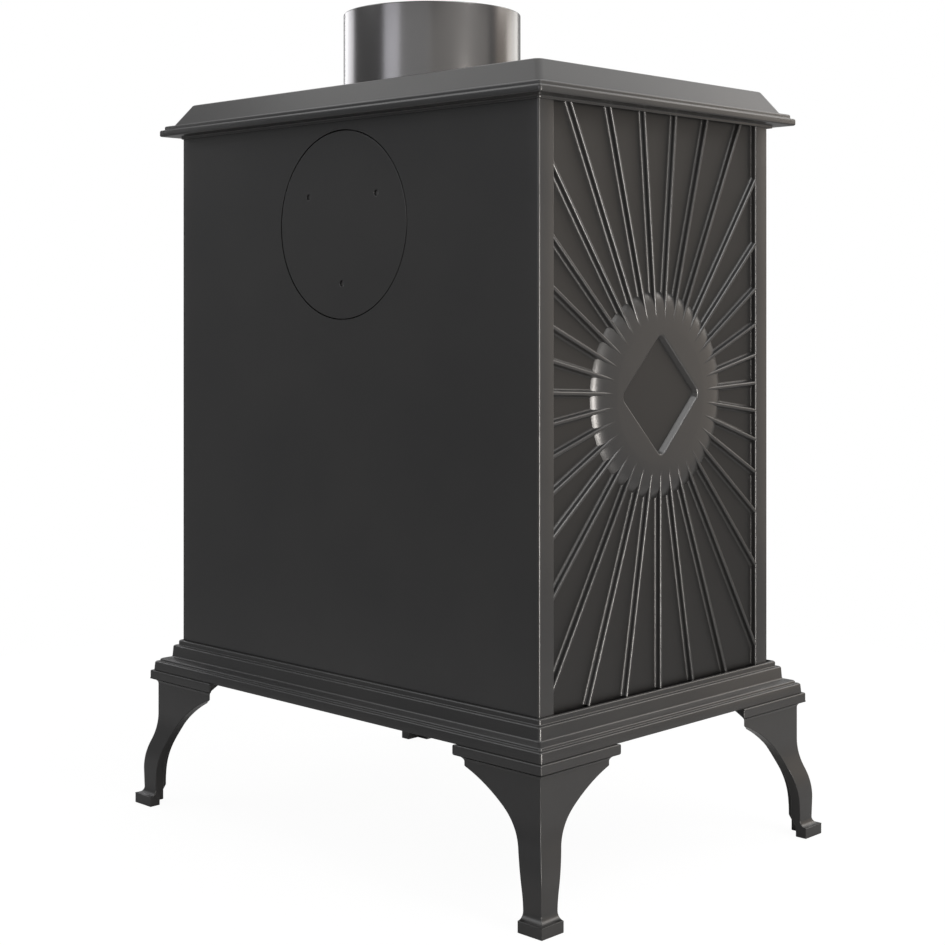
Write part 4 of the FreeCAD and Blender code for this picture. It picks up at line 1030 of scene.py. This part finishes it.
# Softboxes, each named after its power: place, width and height, tint
SOFTBOXES = {
    "key": ((-1.35, 0.12, 0.00), (0.24, 0.98), (1.0, 0.95, 0.90)),
    "fill": ((-1.78, 0.28, 0.75), (3.0, 0.7), (1.0, 0.95, 0.89)),
    "side": ((-0.66, 1.72, 0.75), (1.4, 0.7), (1.0, 1.0, 1.0)),
    "warm": ((-0.86, -1.66, 0.80), (1.2, 1.8), (1.0, 0.82, 0.64)),
    "rib": ((-0.69, -1.14, 1.09), (0.5, 0.5), (1.0, 0.96, 0.92)),
    "edge": ((-1.37, -0.10, 1.30), (0.4, 0.4), (1.0, 0.98, 0.96)),
    "high": ((-0.90, 0.10, 1.50), (0.9, 0.9), (1.0, 1.0, 1.0)),
    "loft": ((1.10, 1.10, 1.45), (0.9, 0.9), (0.97, 0.98, 1.0)),
    "top": ((0.10, -0.40, 1.75), (3.6, 3.6), (1.0, 0.99, 0.98)),
    "cool": ((0.20, 1.59, 0.75), (0.58, 0.5), (0.93, 0.93, 1.0)),
    "back": ((1.77, 0.00, 0.73), (1.05, 0.4), (0.98, 0.97, 1.0)),
    "front": ((-0.16, -1.85, 0.76), (1.16, 0.36), (1.0, 0.97, 0.93)),
}
SOFTBOX_AIM = Vector((0, 0.02, 0.24))
SENSOR_MM = 36.0


class STOVE_OT_stage(bpy.types.Operator):
    """Pale floor, soft light and the camera"""

    bl_idname = "stove.stage"
    bl_label = "Studio"

    def execute(self, context):
        studio = context.scene.stove_stage
        self.floor(context, studio)
        self.sky(context, studio)
        for name, (place, size, tint) in SOFTBOXES.items():
            self.softbox(context, name + " softbox", getattr(studio, name), place, size, tint)
        self.camera(context, studio)
        return {"FINISHED"}

    def camera(self, context, studio):
        """Level camera, its picture shifted rather than tilted."""
        data = bpy.data.cameras.new("photo camera")
        data.sensor_width = SENSOR_MM
        data.lens = studio.lens
        data.shift_y = studio.rise
        camera = bpy.data.objects.new("photo camera", data)
        camera.location = studio.eye
        camera.rotation_euler = (math.pi / 2, 0, studio.heading)
        context.scene.collection.objects.link(camera)
        context.scene.camera = camera

    def floor(self, context, studio):
        radius = studio.floor
        rim = [(radius * math.cos(t), radius * math.sin(t), 0) for t in turns(FLOOR_STEPS)]
        mesh = bpy.data.meshes.new("studio floor")
        mesh.from_pydata(rim, [], [range(len(rim))])
        mesh.materials.append(studio_floor(context.scene.stove_finishes, studio.white))
        new_piece("studio_floor", mesh)

    def sky(self, context, studio):
        """White behind the stove, and an even light of its own strength."""
        world = bpy.data.worlds.new("studio")
        world.use_nodes = True
        world.node_tree.nodes.clear()
        graph = Graph(world.node_tree)
        seen = graph.add("ShaderNodeLightPath", output="Is Camera Ray")
        strength = seen + (1 - seen) * studio.sky
        light = graph.add("ShaderNodeBackground", {}, {"Color": (1, 1, 1, 1), "Strength": strength})
        graph.add("ShaderNodeOutputWorld", {}, {"Surface": light})
        context.scene.world = world

    def softbox(self, context, name, power, place, size, tint):
        data = bpy.data.lights.new(name, "AREA")
        data.energy = power
        data.shape = "RECTANGLE"
        data.size, data.size_y = size
        data.color = tint
        lamp = bpy.data.objects.new(name, data)
        turn = (SOFTBOX_AIM - Vector(place)).to_track_quat("-Z", "Y")
        lamp.matrix_world = Matrix.Translation(place) @ turn.to_matrix().to_4x4()
        context.scene.collection.objects.link(lamp)


GROUPS = {
    "stove_edges": StoveEdges,
    "stove_sunburst": StoveSunburst,
    "stove_flue": StoveFlue,
    "stove_finishes": StoveFinishes,
    "stove_stage": StoveStage,
}
STEPS = (
    STOVE_OT_finishes, STOVE_OT_mouldings, STOVE_OT_legs, STOVE_OT_back, STOVE_OT_side_panels,
    STOVE_OT_flue_collar, STOVE_OT_front, STOVE_OT_fittings, STOVE_OT_fire_lining, STOVE_OT_stage,
)


class STOVE_PT_build(bpy.types.Panel):
    """The stove's steps and sizes in the sidebar"""

    bl_label = "Stove"
    bl_idname = "STOVE_PT_build"
    bl_space_type = "VIEW_3D"
    bl_region_type = "UI"
    bl_category = "Stove"

    def draw(self, context):
        for step in STEPS:
            self.layout.operator(step.bl_idname)
        for name, group in GROUPS.items():
            column = self.layout.box().column()
            for field in group.__annotations__:
                column.prop(getattr(context.scene, name), field)


def register():
    for name, group in GROUPS.items():
        bpy.utils.register_class(group)
        setattr(bpy.types.Scene, name, PointerProperty(type=group))
    for step in STEPS:
        bpy.utils.register_class(step)
    bpy.utils.register_class(STOVE_PT_build)


def unregister():
    bpy.utils.unregister_class(STOVE_PT_build)
    for step in reversed(STEPS):
        bpy.utils.unregister_class(step)
    for name, group in reversed(GROUPS.items()):
        delattr(bpy.types.Scene, name)
        bpy.utils.unregister_class(group)


def main():
    register()
    for step in STEPS:
        group, action = step.bl_idname.split(".")
        getattr(getattr(bpy.ops, group), action)()
    bpy.context.scene.view_settings.view_transform = "Standard"


if __name__ == "__main__":
    main()
